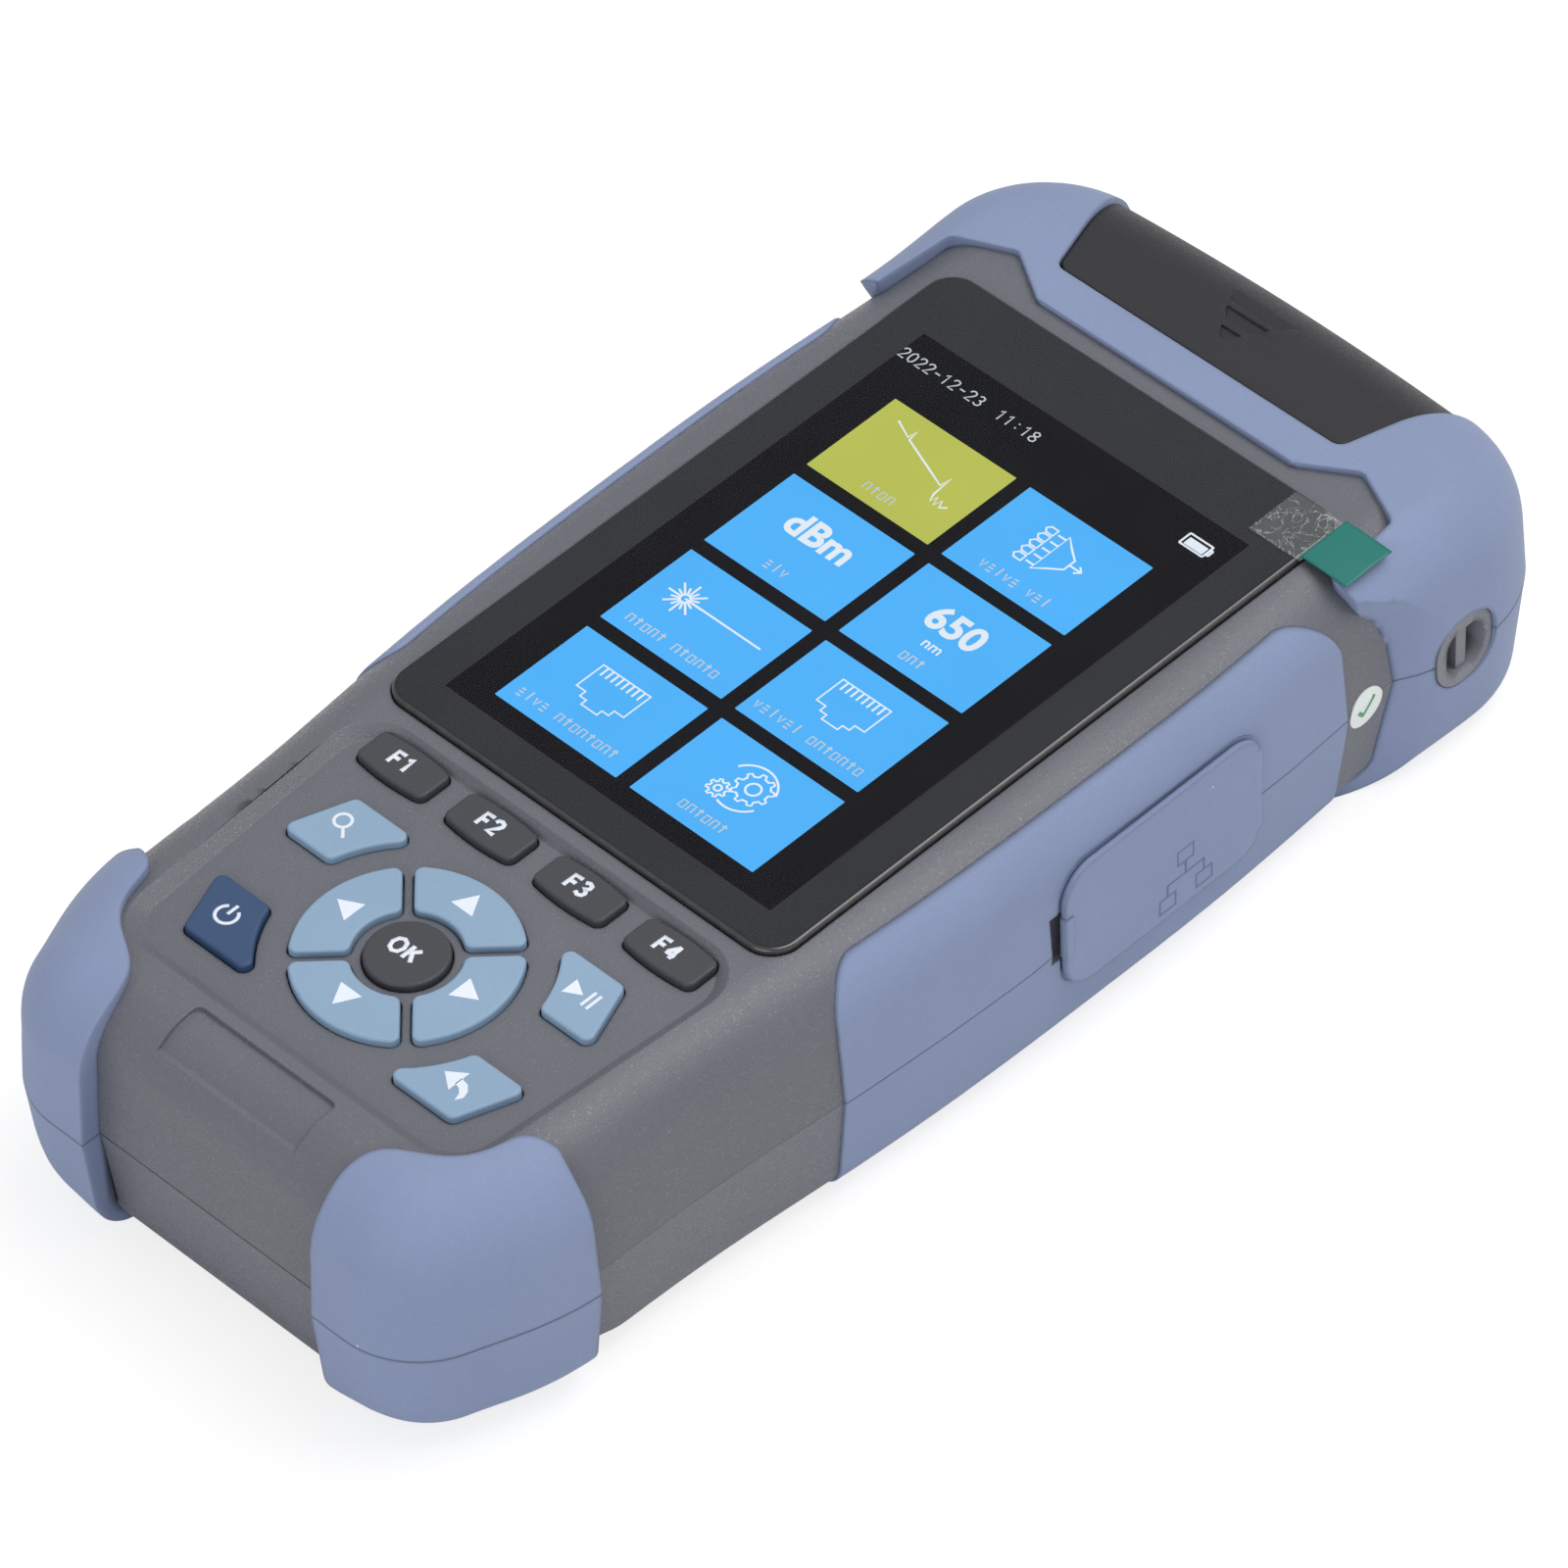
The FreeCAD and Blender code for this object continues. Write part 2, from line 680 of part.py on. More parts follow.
def make_bumper(half):
    return skin(half, [bumper_proud, rubber_proud], [0], bumper_region())


def make_grip(half):
    solid = skin(half, [grip_proud], [0], grip_region())
    return solid.cut(flap_pocket())


def make_end_guard(half):
    solid = skin(half, [rubber_proud, rubber_proud, guard_widening], [0], guard_region())
    solid = solid.cut(bay_opening(0)).cut(hinge_notch())
    return solid.cut(both_sides(eye_pocket(eye_gap)))


def make_lens():
    lens = rounded_box(lens_width, lens_length, lens_corner_radius, lens_bottom, lens_top, 0, lens_y)
    rim = [e for e in lens.Edges if all(abs(v.Z - lens_top) < 1e-4 for v in e.Vertexes)]
    return lens.makeChamfer(0.35, rim)


def make_gasket():
    z0, z1 = lens_bottom - gasket_thickness, lens_bottom
    ring = rounded_box(lens_width, lens_length, lens_corner_radius, z0, z1, 0, lens_y)
    inner = box(-display_width / 2 - display_gap, display_width / 2 + display_gap,
                screen_y - display_length / 2 - display_gap, screen_y + display_length / 2 + display_gap,
                z0 - 1, z1 + 1)
    return ring.cut(inner)


def make_display():
    a, b = display_width / 2, display_length / 2
    frame = box(-a, a, screen_y - b, screen_y + b, board_top, display_top - 0.6)
    glass = box(-a + 0.8, a - 0.8, screen_y - b + 0.8, screen_y + b - 0.8, board_top, display_top)
    return frame.fuse(glass).removeSplitter()


def make_film():
    return rounded_box(lens_width - 2 * film_inset, lens_length - 2 * film_inset,
                       lens_corner_radius - film_inset, lens_top, lens_top + film_thickness, 0, lens_y)


def make_tab():
    z = lens_top + film_thickness
    x0 = lens_width / 2 - tab_hold
    a = tab_length / 2
    outline = rounded_polygon([(x0, tab_y - a), (x0 + tab_hold + tab_width, tab_y - a + 0.4),
                               (x0 + tab_hold + tab_width, tab_y + a - 0.2), (x0, tab_y + a)], 0.6)
    return plate(outline, z, z + film_thickness)


def make_dome_sheet():
    z = board_top
    half = recess_far_half - 3.4
    sheet = rounded_box(2 * half, 38.4, 2, z, z + dome_sheet_thickness, 0, pad_y + 1.1)
    for name in key_names:
        centre = key_outline(name).CenterOfMass
        dome = Part.makeCone(dome_radius, dome_radius * 0.5, dome_height,
                             V(centre.x, centre.y, z + dome_sheet_thickness), UP)
        sheet = sheet.fuse(dome)
    for x, y in board_screw_places:
        sheet = sheet.cut(cylinder(board_post_radius + 0.2, 0, lens_top, x, y))
    return sheet


def make_main_board():
    a = board_half_width
    length = board_far_y - board_near_y
    board = rounded_box(2 * a, length, 2, board_bottom, board_top, 0, (board_near_y + board_far_y) / 2)
    board = board.common(plate(casing_outline(0, -board_edge_inset, 0, 0), board_bottom, board_top))
    for x, y in screw_places:
        board = board.cut(cylinder(screw_post_radius + 0.4, 0, lens_top, x, y))
    for x, y in board_screw_places:
        board = board.cut(cylinder(board_screw_radius + screw_clearance, 0, lens_top, x, y))
    return board


def screw(x, y, seat, tip, shank, head, head_height):
    """Pan-head screw that points up, its head below the seat."""
    body = cylinder(shank, seat, tip, x, y)
    top = cylinder(head, seat - head_height, seat, x, y)
    slot = box(x - head * 0.7, x + head * 0.7, y - 0.3, y + 0.3, seat - head_height - 1, seat - head_height + 0.6)
    cross = box(x - 0.3, x + 0.3, y - head * 0.7, y + head * 0.7, seat - head_height - 1, seat - head_height + 0.6)
    return body.fuse(top).cut(slot).cut(cross)


def make_case_screws():
    return Part.makeCompound([
        screw(x, y, screw_head_seat, screw_tip_height, screw_shank_radius, screw_head_radius,
              screw_head_height) for x, y in screw_places])


def make_board_screws():
    return Part.makeCompound([
        screw(x, y, board_bottom, board_bottom + board_screw_length, board_screw_radius,
              board_screw_head_radius, board_screw_head_height) for x, y in board_screw_places])


def make_io_screws():
    screws = []
    for x, y in io_post_places():
        top = io_board_height + board_thickness
        body = cylinder(board_screw_radius, top - board_screw_length, top, x, y)
        head = cylinder(board_screw_head_radius, top, top + board_screw_head_height, x, y)
        screws.append(body.fuse(head).removeSplitter())
    return Part.makeCompound(screws)


def make_io_board():
    z = io_board_height
    board = box(-io_board_half_width, io_board_half_width, io_board_near_y, io_board_far_y,
                z, z + board_thickness)
    for x, y in screw_places:
        board = board.cut(cylinder(screw_post_radius + 0.4, 0, lens_top, x, y))
    for x, y in io_post_places():
        board = board.cut(cylinder(board_screw_radius + screw_clearance, 0, lens_top, x, y))
    return board


def jack_face_x():
    return flap_outer_x - flap_thickness - flap_gap - flap_plug_depth - flap_gap


def make_network_jack():
    x1 = jack_face_x()
    z0 = io_board_height + board_thickness
    a = jack_width / 2
    body = box(x1 - jack_depth, x1, jack_y - a, jack_y + a, z0, z0 + jack_height)
    b = jack_mouth_width / 2
    mouth_low = z0 + 3.2
    mouth = box(x1 - jack_mouth_depth, x1 + 1, jack_y - b, jack_y + b, mouth_low, mouth_low + jack_mouth_height)
    latch = box(x1 - jack_mouth_depth, x1 + 1, jack_y - 3.0, jack_y + 3.0, mouth_low - 1.6, mouth_low + 1)
    body = body.cut(mouth).cut(latch)
    contacts = [box(x1 - jack_mouth_depth, x1 - 3.0, jack_y + (i - 3.5) * 1.02 - 0.2, jack_y + (i - 3.5) * 1.02 + 0.2,
                    mouth_low + jack_mouth_height - 1.2, mouth_low + jack_mouth_height) for i in range(8)]
    return body.fuse(contacts)


def make_charge_socket():
    x1 = -jack_face_x()
    z0 = io_board_height + board_thickness
    y0, y1 = charge_y - socket_width / 2, charge_y + socket_width / 2
    body = box(x1, x1 + socket_depth, y0, y1, z0, z0 + socket_height)
    centre = V(x1 - 1, (y0 + y1) / 2, z0 + socket_height / 2)
    body = body.cut(Part.makeCylinder(socket_bore_radius, socket_depth - 2, centre, V(1, 0, 0)))
    pin = Part.makeCylinder(socket_pin_radius, socket_depth - 2, V(x1 + 1, centre.y, centre.z), V(1, 0, 0))
    return body.fuse(pin)


def make_usb_socket():
    x1 = -jack_face_x()
    z0 = io_board_height + board_thickness
    y = data_y
    body = box(x1, x1 + 6, y - usb_width / 2, y + usb_width / 2, z0, z0 + usb_height)
    mouth = box(x1 - 1, x1 + 5, y - usb_width / 2 + 0.5, y + usb_width / 2 - 0.5, z0 + 0.6, z0 + usb_height - 0.6)
    tongue = box(x1 + 0.8, x1 + 6, y - 2.6, y + 2.6, z0 + usb_height / 2 - 0.3, z0 + usb_height / 2 + 0.3)
    return body.cut(mouth).fuse(tongue)


def make_battery():
    z0 = floor
    a, b = battery_width / 2, battery_length / 2
    pack = rounded_box(battery_width, battery_length, 4, z0, z0 + battery_thickness, 0, battery_y)
    edges = [e for e in pack.Edges if not upright(e)]
    return pack.makeFillet(1.5, edges)


def upright(edge):
    return len(edge.Vertexes) == 2 and abs(edge.Vertexes[0].Z - edge.Vertexes[1].Z) > 1e-3


def make_optical_module():
    y1 = bay_near_y - port_rear_length - 3.0
    z0 = floor
    base = box(-module_width / 2, module_width / 2, y1 - module_length, y1, z0, z0 + module_height)
    lid = box(-module_width / 2 + 1, module_width / 2 - 1, y1 - module_length + 1, y1 - 1,
              z0 + module_height, z0 + module_height + 1.2)
    tubes = [Part.makeCylinder(2.4, port_rear_length, V(x, y1, port_height), V(0, 1, 0))
             for x in port_places()]
    block = base.fuse(lid)
    block = block.fuse(box(-module_width / 2 + 2, module_width / 2 - 2, y1 - 5, y1,
                           z0 + module_height - 1, port_height + 3.4))
    return block.fuse(tubes).removeSplitter()


def make_buzzer():
    y = board_near_y + 20
    body = cylinder(buzzer_radius, board_bottom - buzzer_height, board_bottom, 15, y)
    return body.cut(cylinder(1.0, board_bottom - buzzer_height - 1, board_bottom - 1, 15, y))


def port_places():
    return [-port_pitch, 0.0, port_pitch]


def make_port_tray():
    """Moulded tray behind the cover, whose back wall carries the three optical ports."""
    low = tray_floor_height
    outer = plate(bay_outline(tray_gap), low, lens_top)
    inner = plate(bay_outline(tray_gap + tray_wall), low + tray_wall, lens_top + 1)
    tray = outer.cut(inner)
    inside = upper_half(cover_proud - cover_depth - tray_lip_gap).fuse(
        lower_half(cover_proud - cover_depth - tray_lip_gap))
    tray = tray.common(inside)
    hinge_clear = hinge_barrel_radius + hinge_clearance + tray_lip_gap
    tray = tray.cut(box(-50, 50, hinge_y - hinge_clear, 120, 0, hinge_height + hinge_clear + 0.5))
    for x in port_places():
        tray = tray.cut(Part.makeCylinder(port_back_radius + 0.1, 15, V(x, bay_near_y - 10, port_height),
                                          V(0, 1, 0)))
    return tray


def port_profile(x, rings):
    """Turned port body along Y from (y, radius) steps, starting and ending on its axis."""
    points = [V(x, rings[0][0], port_height)]
    for y, radius in rings:
        points.append(V(x, y, port_height + radius))
    points.append(V(x, rings[-1][0], port_height))
    outline = Part.makePolygon(points + points[:1])
    return Part.Face(outline).revolve(V(x, 0, port_height), V(0, 1, 0), 360)


def make_port(x, flange_radius, barrel_radius, length, collar):
    seat = bay_near_y + tray_gap + tray_wall
    back = bay_near_y - port_rear_length + 2.0
    flange = 1.6
    tip = seat + length
    body = port_profile(x, [
        (back, port_back_radius), (seat, port_back_radius),
        (seat, flange_radius), (seat + flange, flange_radius),
        (seat + flange, barrel_radius + collar), (seat + flange + 2, barrel_radius + collar),
        (seat + flange + 2, barrel_radius), (tip - 0.4, barrel_radius), (tip, barrel_radius - 0.4)])
    sleeve_gap = Part.makeCylinder(barrel_radius - 0.9, 3.2, V(x, tip - 3.2, port_height), V(0, 1, 0))
    core = Part.makeCylinder(port_bore_radius + 0.7, 3.2, V(x, tip - 3.2, port_height), V(0, 1, 0))
    bore = Part.makeCylinder(port_bore_radius, port_bore_depth + 1, V(x, tip - port_bore_depth, port_height),
                             V(0, 1, 0))
    return body.cut(sleeve_gap.cut(core)).cut(bore)


def make_port_cover():
    """Flip cover that wraps from the face over the end, down to its hinge knuckles."""
    region = plate(bay_outline(cover_gap), hinge_height, lens_top + 5)
    inner = cover_proud - cover_depth
    skin_up = skin(upper_half, [cover_proud], [inner], region)
    skin_down = skin(lower_half, [cover_proud], [inner], region)
    cover = skin_up.fuse(skin_down)
    ribs = []
    for sign in (-1, 1):
        x0 = sign * knuckle_centre_x - knuckle_width / 2
        knuckle = barrel(hinge_barrel_radius, x0, x0 + knuckle_width)
        arm = box(x0, x0 + knuckle_width, hinge_y, hinge_y + hinge_barrel_radius - 0.02,
                  hinge_height, hinge_height + 2.0)
        ribs.append(knuckle.fuse(arm))
    cover = cover.fuse(ribs)
    clear_barrel = hinge_barrel_radius + hinge_clearance
    for x0, x1 in lug_spans():
        cover = cover.cut(barrel(clear_barrel, x0 - lug_gap + 0.001, x1 + lug_gap - 0.001))
    cover = cover.cut(barrel(hinge_pin_radius + hinge_fit, -pin_half_length, pin_half_length))
    return cover


def make_hinge_pin():
    return barrel(hinge_pin_radius, -pin_half_length + 0.2, pin_half_length - 0.2)


def flap_hinge_x():
    return flap_outer_x - flap_thickness / 2


def make_flap(light_pipe):
    """Side flap: plate, barrel edge at the hinge, plug on its back and thumb tab at the free end."""
    inner_x = flap_outer_x - flap_thickness
    half = flap_thickness / 2
    hinge_end = flap_far_y - half
    body = side_prism(flap_outline_points(0), flap_corner_radius, inner_x, flap_outer_x)
    trim = box(inner_x - 1, flap_outer_x + 1, hinge_end, flap_far_y + 2, flap_low - 1, flap_high + 1)
    body = body.cut(trim)
    low, high = flap_low + flap_corner_radius - 1.6, flap_high - flap_corner_radius + 1.6
    edge = Part.makeCylinder(half, high - low, V(flap_hinge_x(), hinge_end, low), UP)
    body = body.fuse(edge)
    middle_y = (flap_near_y + flap_far_y) / 2
    middle_z = (flap_low + flap_high) / 2
    a, b = jack_width / 2 + 0.9, jack_height / 2 + 0.3
    outer = side_prism([(middle_y - a, middle_z - b), (middle_y + a, middle_z - b),
                        (middle_y + a, middle_z + b), (middle_y - a, middle_z + b)],
                       1.2, inner_x - flap_plug_depth, inner_x)
    tab = box(inner_x, flap_outer_x + 0.5, flap_near_y - 0.2, flap_near_y + 1.0,
              middle_z - flap_tab_width / 2 + 0.5, middle_z + flap_tab_width / 2 - 0.5)
    body = body.fuse(outer).fuse(tab)
    if light_pipe:
        window = Part.makeCylinder(1.0, 5, V(flap_outer_x - 0.3, middle_y + light_offset, middle_z), V(1, 0, 0))
        body = body.cut(window)
    return body


def make_eye():
    """Lanyard eye: a cup sunk in the side of the head with a bar across its mouth."""
    a, b = eye_plate_width / 2, eye_plate_height / 2
    x0 = rear_half_width - eye_depth
    x1 = rear_half_width + guard_widening + rubber_proud
    cup = side_prism([(eye_y - a, parting_height - b), (eye_y + a, parting_height - b),
                      (eye_y + a, parting_height + b), (eye_y - a, parting_height + b)],
                     a - 0.3, x0, x1)
    c, d = eye_hole_width / 2, eye_hole_height / 2
    hole = side_prism([(eye_y - c, parting_height - d), (eye_y + c, parting_height - d),
                       (eye_y + c, parting_height + d), (eye_y - c, parting_height + d)],
                      2.2, x0 + eye_wall, x1 + 1)
    bar = box(x1 - 2.4, x1 - 0.6, eye_y - eye_bar_width / 2, eye_y + eye_bar_width / 2,
              parting_height - b + 1, parting_height + b - 1)
    return cup.cut(hole).fuse(bar)


def make_sticker():
    disc = Part.makeCylinder(sticker_radius, 60, V(0, sticker_y, sticker_height), V(1, 0, 0))
    up = skin(upper_half, [sticker_thickness], [0], disc)
    down = skin(lower_half, [sticker_thickness], [0], disc)
    return up.fuse(down)


def build():
    pieces = {}
    pieces["front_shell"] = make_front_shell()
    pieces["rear_shell"] = make_rear_shell()
    for level, half in (("upper", upper_half), ("lower", lower_half)):
        bumper = make_bumper(half)
        grip = make_grip(half)
        pieces["bumper_right_" + level] = bumper
        pieces["bumper_left_" + level] = mirrored_x(bumper)
        pieces["grip_right_" + level] = grip
        pieces["grip_left_" + level] = mirrored_x(grip)
        pieces["end_guard_" + level] = make_end_guard(half)
    pieces["screen_lens"] = make_lens()
    pieces["lens_gasket"] = make_gasket()
    pieces["display_module"] = make_display()
    pieces["screen_film"] = make_film()
    pieces["film_pull_tab"] = make_tab()
    for name in key_names:
        pieces[name] = make_key(name)
    pieces["dome_sheet"] = make_dome_sheet()
    pieces["main_board"] = make_main_board()
    pieces["board_screws"] = make_board_screws()
    pieces["buzzer"] = make_buzzer()
    pieces["io_board"] = make_io_board()
    pieces["io_board_screws"] = make_io_screws()
    pieces["network_jack"] = make_network_jack()
    pieces["charge_socket"] = make_charge_socket()
    pieces["data_socket"] = make_usb_socket()
    pieces["battery_pack"] = make_battery()
    pieces["optical_module"] = make_optical_module()
    pieces["port_tray"] = make_port_tray()
    pieces["power_meter_port"] = make_port(-port_pitch, 4.8, 4.0, 8.0, 0.5)
    pieces["test_port"] = make_port(0.0, 4.8, 3.6, 8.6, 0.6)
    pieces["fault_locator_port"] = make_port(port_pitch, 4.8, 3.3, 8.0, 0.5)
    pieces["port_cover"] = make_port_cover()
    pieces["port_cover_pin"] = make_hinge_pin()
    pieces["network_port_flap"] = make_flap(False)
    pieces["charge_port_flap"] = mirrored_x(make_flap(True))
    eye = make_eye()
    pieces["lanyard_eye_right"] = eye
    pieces["lanyard_eye_left"] = mirrored_x(eye)
    pieces["case_screws"] = make_case_screws()
    pieces["inspection_sticker"] = make_sticker()
    return pieces


os.makedirs("parts", exist_ok=True)
for name, shape in build().items():
    shape.exportStep("parts/" + name + ".step")
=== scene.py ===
"""Finish of a handheld optical fibre tester: its materials, markings, screen and studio."""

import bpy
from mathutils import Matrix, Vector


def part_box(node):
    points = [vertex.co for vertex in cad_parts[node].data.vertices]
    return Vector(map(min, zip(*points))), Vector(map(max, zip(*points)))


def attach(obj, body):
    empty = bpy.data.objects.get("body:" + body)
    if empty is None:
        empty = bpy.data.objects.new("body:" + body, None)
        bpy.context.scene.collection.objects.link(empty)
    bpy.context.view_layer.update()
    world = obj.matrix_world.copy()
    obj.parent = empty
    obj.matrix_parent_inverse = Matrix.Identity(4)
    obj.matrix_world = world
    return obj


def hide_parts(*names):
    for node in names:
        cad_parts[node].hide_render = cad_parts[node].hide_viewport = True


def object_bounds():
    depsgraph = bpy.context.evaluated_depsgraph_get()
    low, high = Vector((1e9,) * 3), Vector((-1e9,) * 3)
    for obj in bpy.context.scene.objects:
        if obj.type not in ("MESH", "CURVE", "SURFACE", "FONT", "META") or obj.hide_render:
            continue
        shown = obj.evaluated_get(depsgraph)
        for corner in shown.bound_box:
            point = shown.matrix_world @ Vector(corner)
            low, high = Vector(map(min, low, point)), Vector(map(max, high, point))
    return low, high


bl_info = {
    "name": "Handheld Fibre Tester",
    "version": (1, 0, 0),
    "blender": (4, 5, 0),
    "location": "View3D > Sidebar > Tester",
    "description": "Dresses the frame of a handheld fibre tester and sets up its studio",
    "category": "Object",
}

import bmesh
import bpy
import math
from mathutils import Euler, Matrix, Vector
from mathutils.bvhtree import BVHTree

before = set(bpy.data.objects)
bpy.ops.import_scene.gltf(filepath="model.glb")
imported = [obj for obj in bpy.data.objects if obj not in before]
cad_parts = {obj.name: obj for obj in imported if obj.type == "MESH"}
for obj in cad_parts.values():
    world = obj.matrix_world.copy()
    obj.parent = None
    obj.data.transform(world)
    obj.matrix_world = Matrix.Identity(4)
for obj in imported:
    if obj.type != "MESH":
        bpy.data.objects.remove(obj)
cad_low, cad_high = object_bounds()

HOUSING = "housing"
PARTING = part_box("rear_shell")[1].z


def mm(*values):
    """One length, or a point, given in millimetres and returned in metres."""
    if len(values) == 1:
        return values[0] * 0.001
    return Vector(values) * 0.001


def linear(red, green, blue):
    """Display colour from 0 to 255 as scene-linear numbers."""
    def one(value):
        value /= 255.0
        return value / 12.92 if value <= 0.04045 else ((value + 0.055) / 1.055) ** 2.4
    return (one(red), one(green), one(blue))


def colour_property(name, description, *display):
    """Colour that a user may change; its default is a display colour from 0 to 255."""
    return bpy.props.FloatVectorProperty(name=name, description=description, subtype="COLOR", size=3,
                                         min=0.0, max=1.0, default=linear(*display))


def length_property(name, description, default):
    """Length that a user may change; its default is in millimetres."""
    return bpy.props.FloatProperty(name=name, description=description, subtype="DISTANCE", unit="LENGTH",
                                   precision=5, default=mm(default))


class TesterColours(bpy.types.PropertyGroup):
    """Colours that a user may change."""
    casing: colour_property("Casing", "Textured hard casing", 101, 102, 110)
    rubber: colour_property("Rubber", "Soft overmoulds and flaps", 130, 143, 176)
    cover: colour_property("Cover", "Flip cover over the ports", 39, 39, 44)
    border: colour_property("Lens border", "Print around the screen", 43, 44, 48)
    light_key: colour_property("Light keys", "Ring and corner keys", 138, 164, 190)
    dark_key: colour_property("Dark keys", "Function keys and the centre key", 64, 65, 70)
    power_key: colour_property("Power key", "Key that switches the unit on", 52, 76, 112)
    legend: colour_property("Legends", "Paint of the key legends", 226, 233, 244)
    eye: colour_property("Lanyard eye", "Insert in the side of the head", 124, 125, 133)
    panel: colour_property("Panel", "Unlit ground of the screen", 10, 9, 16)
    tile: colour_property("Tile", "Screen tiles", 78, 178, 250)
    tile_chosen: colour_property("Chosen tile", "Screen tile that is selected", 184, 191, 84)
    mark: colour_property("Screen mark", "Pictograms on the tiles", 232, 242, 252)
    tab: colour_property("Pull tab", "Green tab of the transit film", 14, 112, 103)
    paper: colour_property("Sticker", "Paper of the inspection sticker", 232, 237, 235)
    tick: colour_property("Tick", "Mark on the inspection sticker", 88, 158, 120)


class TesterSizes(bpy.types.PropertyGroup):
    """Sizes that a user may change."""
    screen_width: length_property("Screen width", "Lit width of the screen", 49.4)
    screen_height: length_property("Screen height", "Lit length of the screen", 75.0)
    screen_y: length_property("Screen centre", "Place of the screen's middle along the unit", 11.9)
    legend_height: length_property("Legend height", "Height of the key lettering", 2.1)
    paint: length_property("Paint", "Thickness of printed marks", 0.03)
    flush: length_property("Grip inset", "How far the side grips lie back, flush with the casing", 0.65)
    guard_face: length_property("Guard inset", "How far the head guard's edge lies back on the face", 0.35)
    eye_inset: length_property("Eye inset", "How far the lanyard eyes lie back in the head", 0.6)
    flap_root: length_property("Flap root", "Distance of the side flaps' roots from the middle", 39.1)
    flap_share: bpy.props.FloatProperty(name="Flap share", description="Part of the side flaps' height that is kept",
                                        subtype="FACTOR", min=0.0, max=1.0, default=0.42)
    corner_height: length_property("Corner height", "Height over which the near corners roll in", 10.0)
    corner_depth: length_property("Corner roll", "How far the near corners roll in at the table", 4.0)
    groove_depth: length_property("Groove depth", "Depth of the moulded marks", 0.3)


class TesterStudio(bpy.types.PropertyGroup):
    """Camera and light."""
    lens: bpy.props.FloatProperty(name="Lens", description="Focal length of the camera in millimetres",
                                  subtype="DISTANCE_CAMERA", default=254.674)
    place: bpy.props.FloatVectorProperty(name="Camera place", description="Where the camera stands",
                                         subtype="TRANSLATION", default=(0.608502, -0.585252, 0.892339))
    turn: bpy.props.FloatVectorProperty(
        name="Camera turn", description="How the camera is turned", subtype="EULER",
        default=[math.radians(a) for a in (43.955516, 1.614854, 44.391599)])
    main_power: bpy.props.FloatProperty(name="Main light", description="Power of the large soft lamp",
                                        subtype="POWER", default=8.3)
    fill_power: bpy.props.FloatProperty(name="Fill light", description="Power of the fill lamp",
                                        subtype="POWER", default=3.3)
    edge_power: bpy.props.FloatProperty(name="Edge light", description="Power of the lamp that lights the edges",
                                        subtype="POWER", default=0.35)
    sky: bpy.props.FloatProperty(name="Surround", description="Strength of the even surrounding light",
                                 default=0.52)


def colours():
    """The scene's colours for the unit."""
    return bpy.context.scene.tester_colours


def sizes():
    """The scene's sizes for the unit."""
    return bpy.context.scene.tester_sizes


# Building blocks for shader and geometry trees


def feed(tree, node, inputs):
    """Gives a node's inputs numbers, colours or other nodes' outputs."""
    for key, value in inputs.items():
        if isinstance(value, bpy.types.NodeSocket):
            tree.links.new(value, node.inputs[key])
        else:
            node.inputs[key].default_value = value
    return node


def add(tree, kind, inputs=None, **settings):
    """Adds a node, sets its properties and feeds its inputs."""
    node = tree.nodes.new(kind)
    for key, value in settings.items():
        setattr(node, key, value)
    return feed(tree, node, inputs or {})


def calculate(tree, operation, first, second=0.0, third=0.0):
    """Result of one step of arithmetic."""
    return add(tree, "ShaderNodeMath", {0: first, 1: second, 2: third}, operation=operation).outputs[0]


def object_place(tree):
    """Place on the unit, which the patterns follow."""
    return add(tree, "ShaderNodeTexCoord").outputs["Object"]


def noise(tree, place, scale, detail, distortion=0.0):
    """Cloudy pattern from 0 to 1."""
    return add(tree, "ShaderNodeTexNoise", {"Vector": place, "Scale": scale, "Detail": detail,
                                            "Distortion": distortion}).outputs[0]


def ranged(tree, value, low, high):
    """A value from 0 to 1 brought between two others."""
    return add(tree, "ShaderNodeMapRange", {"Value": value, "To Min": low, "To Max": high}).outputs[0]


def toned(tree, colour, light):
    """A colour made lighter or darker."""
    return add(tree, "ShaderNodeVectorMath", {0: colour, "Scale": light}, operation="SCALE").outputs[0]


def mix_colour(tree, factor, first, second):
    """A colour between two others."""
    node = add(tree, "ShaderNodeMix", data_type="RGBA")
    return feed(tree, node, {0: factor, 6: first, 7: second}).outputs[2]


def new_group(name, kind, inputs, outputs):
    """Empty node group with named sockets, given as (name, socket kind, default)."""
    tree = bpy.data.node_groups.new(name, kind)
    for label, socket, default in inputs:
        made = tree.interface.new_socket(label, in_out="INPUT", socket_type=socket)
        if default is not None:
            made.default_value = default
    for label, socket in outputs:
        tree.interface.new_socket(label, in_out="OUTPUT", socket_type=socket)
    return tree, tree.nodes.new("NodeGroupInput"), tree.nodes.new("NodeGroupOutput")


# The moulded surface: how fine its patterns are, per metre; the reach and colour of lint; the share of grain
# without a bright fleck; and the distances from the parting line over which its shade fades
TONE_SCALE = 55.0
LINT_SCALE = 330.0
LINT_REACH = 0.045
LINT_COLOUR = (0.8, 0.8, 0.78, 1.0)
DULL_SHARE = 0.86
SEAM_REACH = (mm(0.07), mm(0.16))


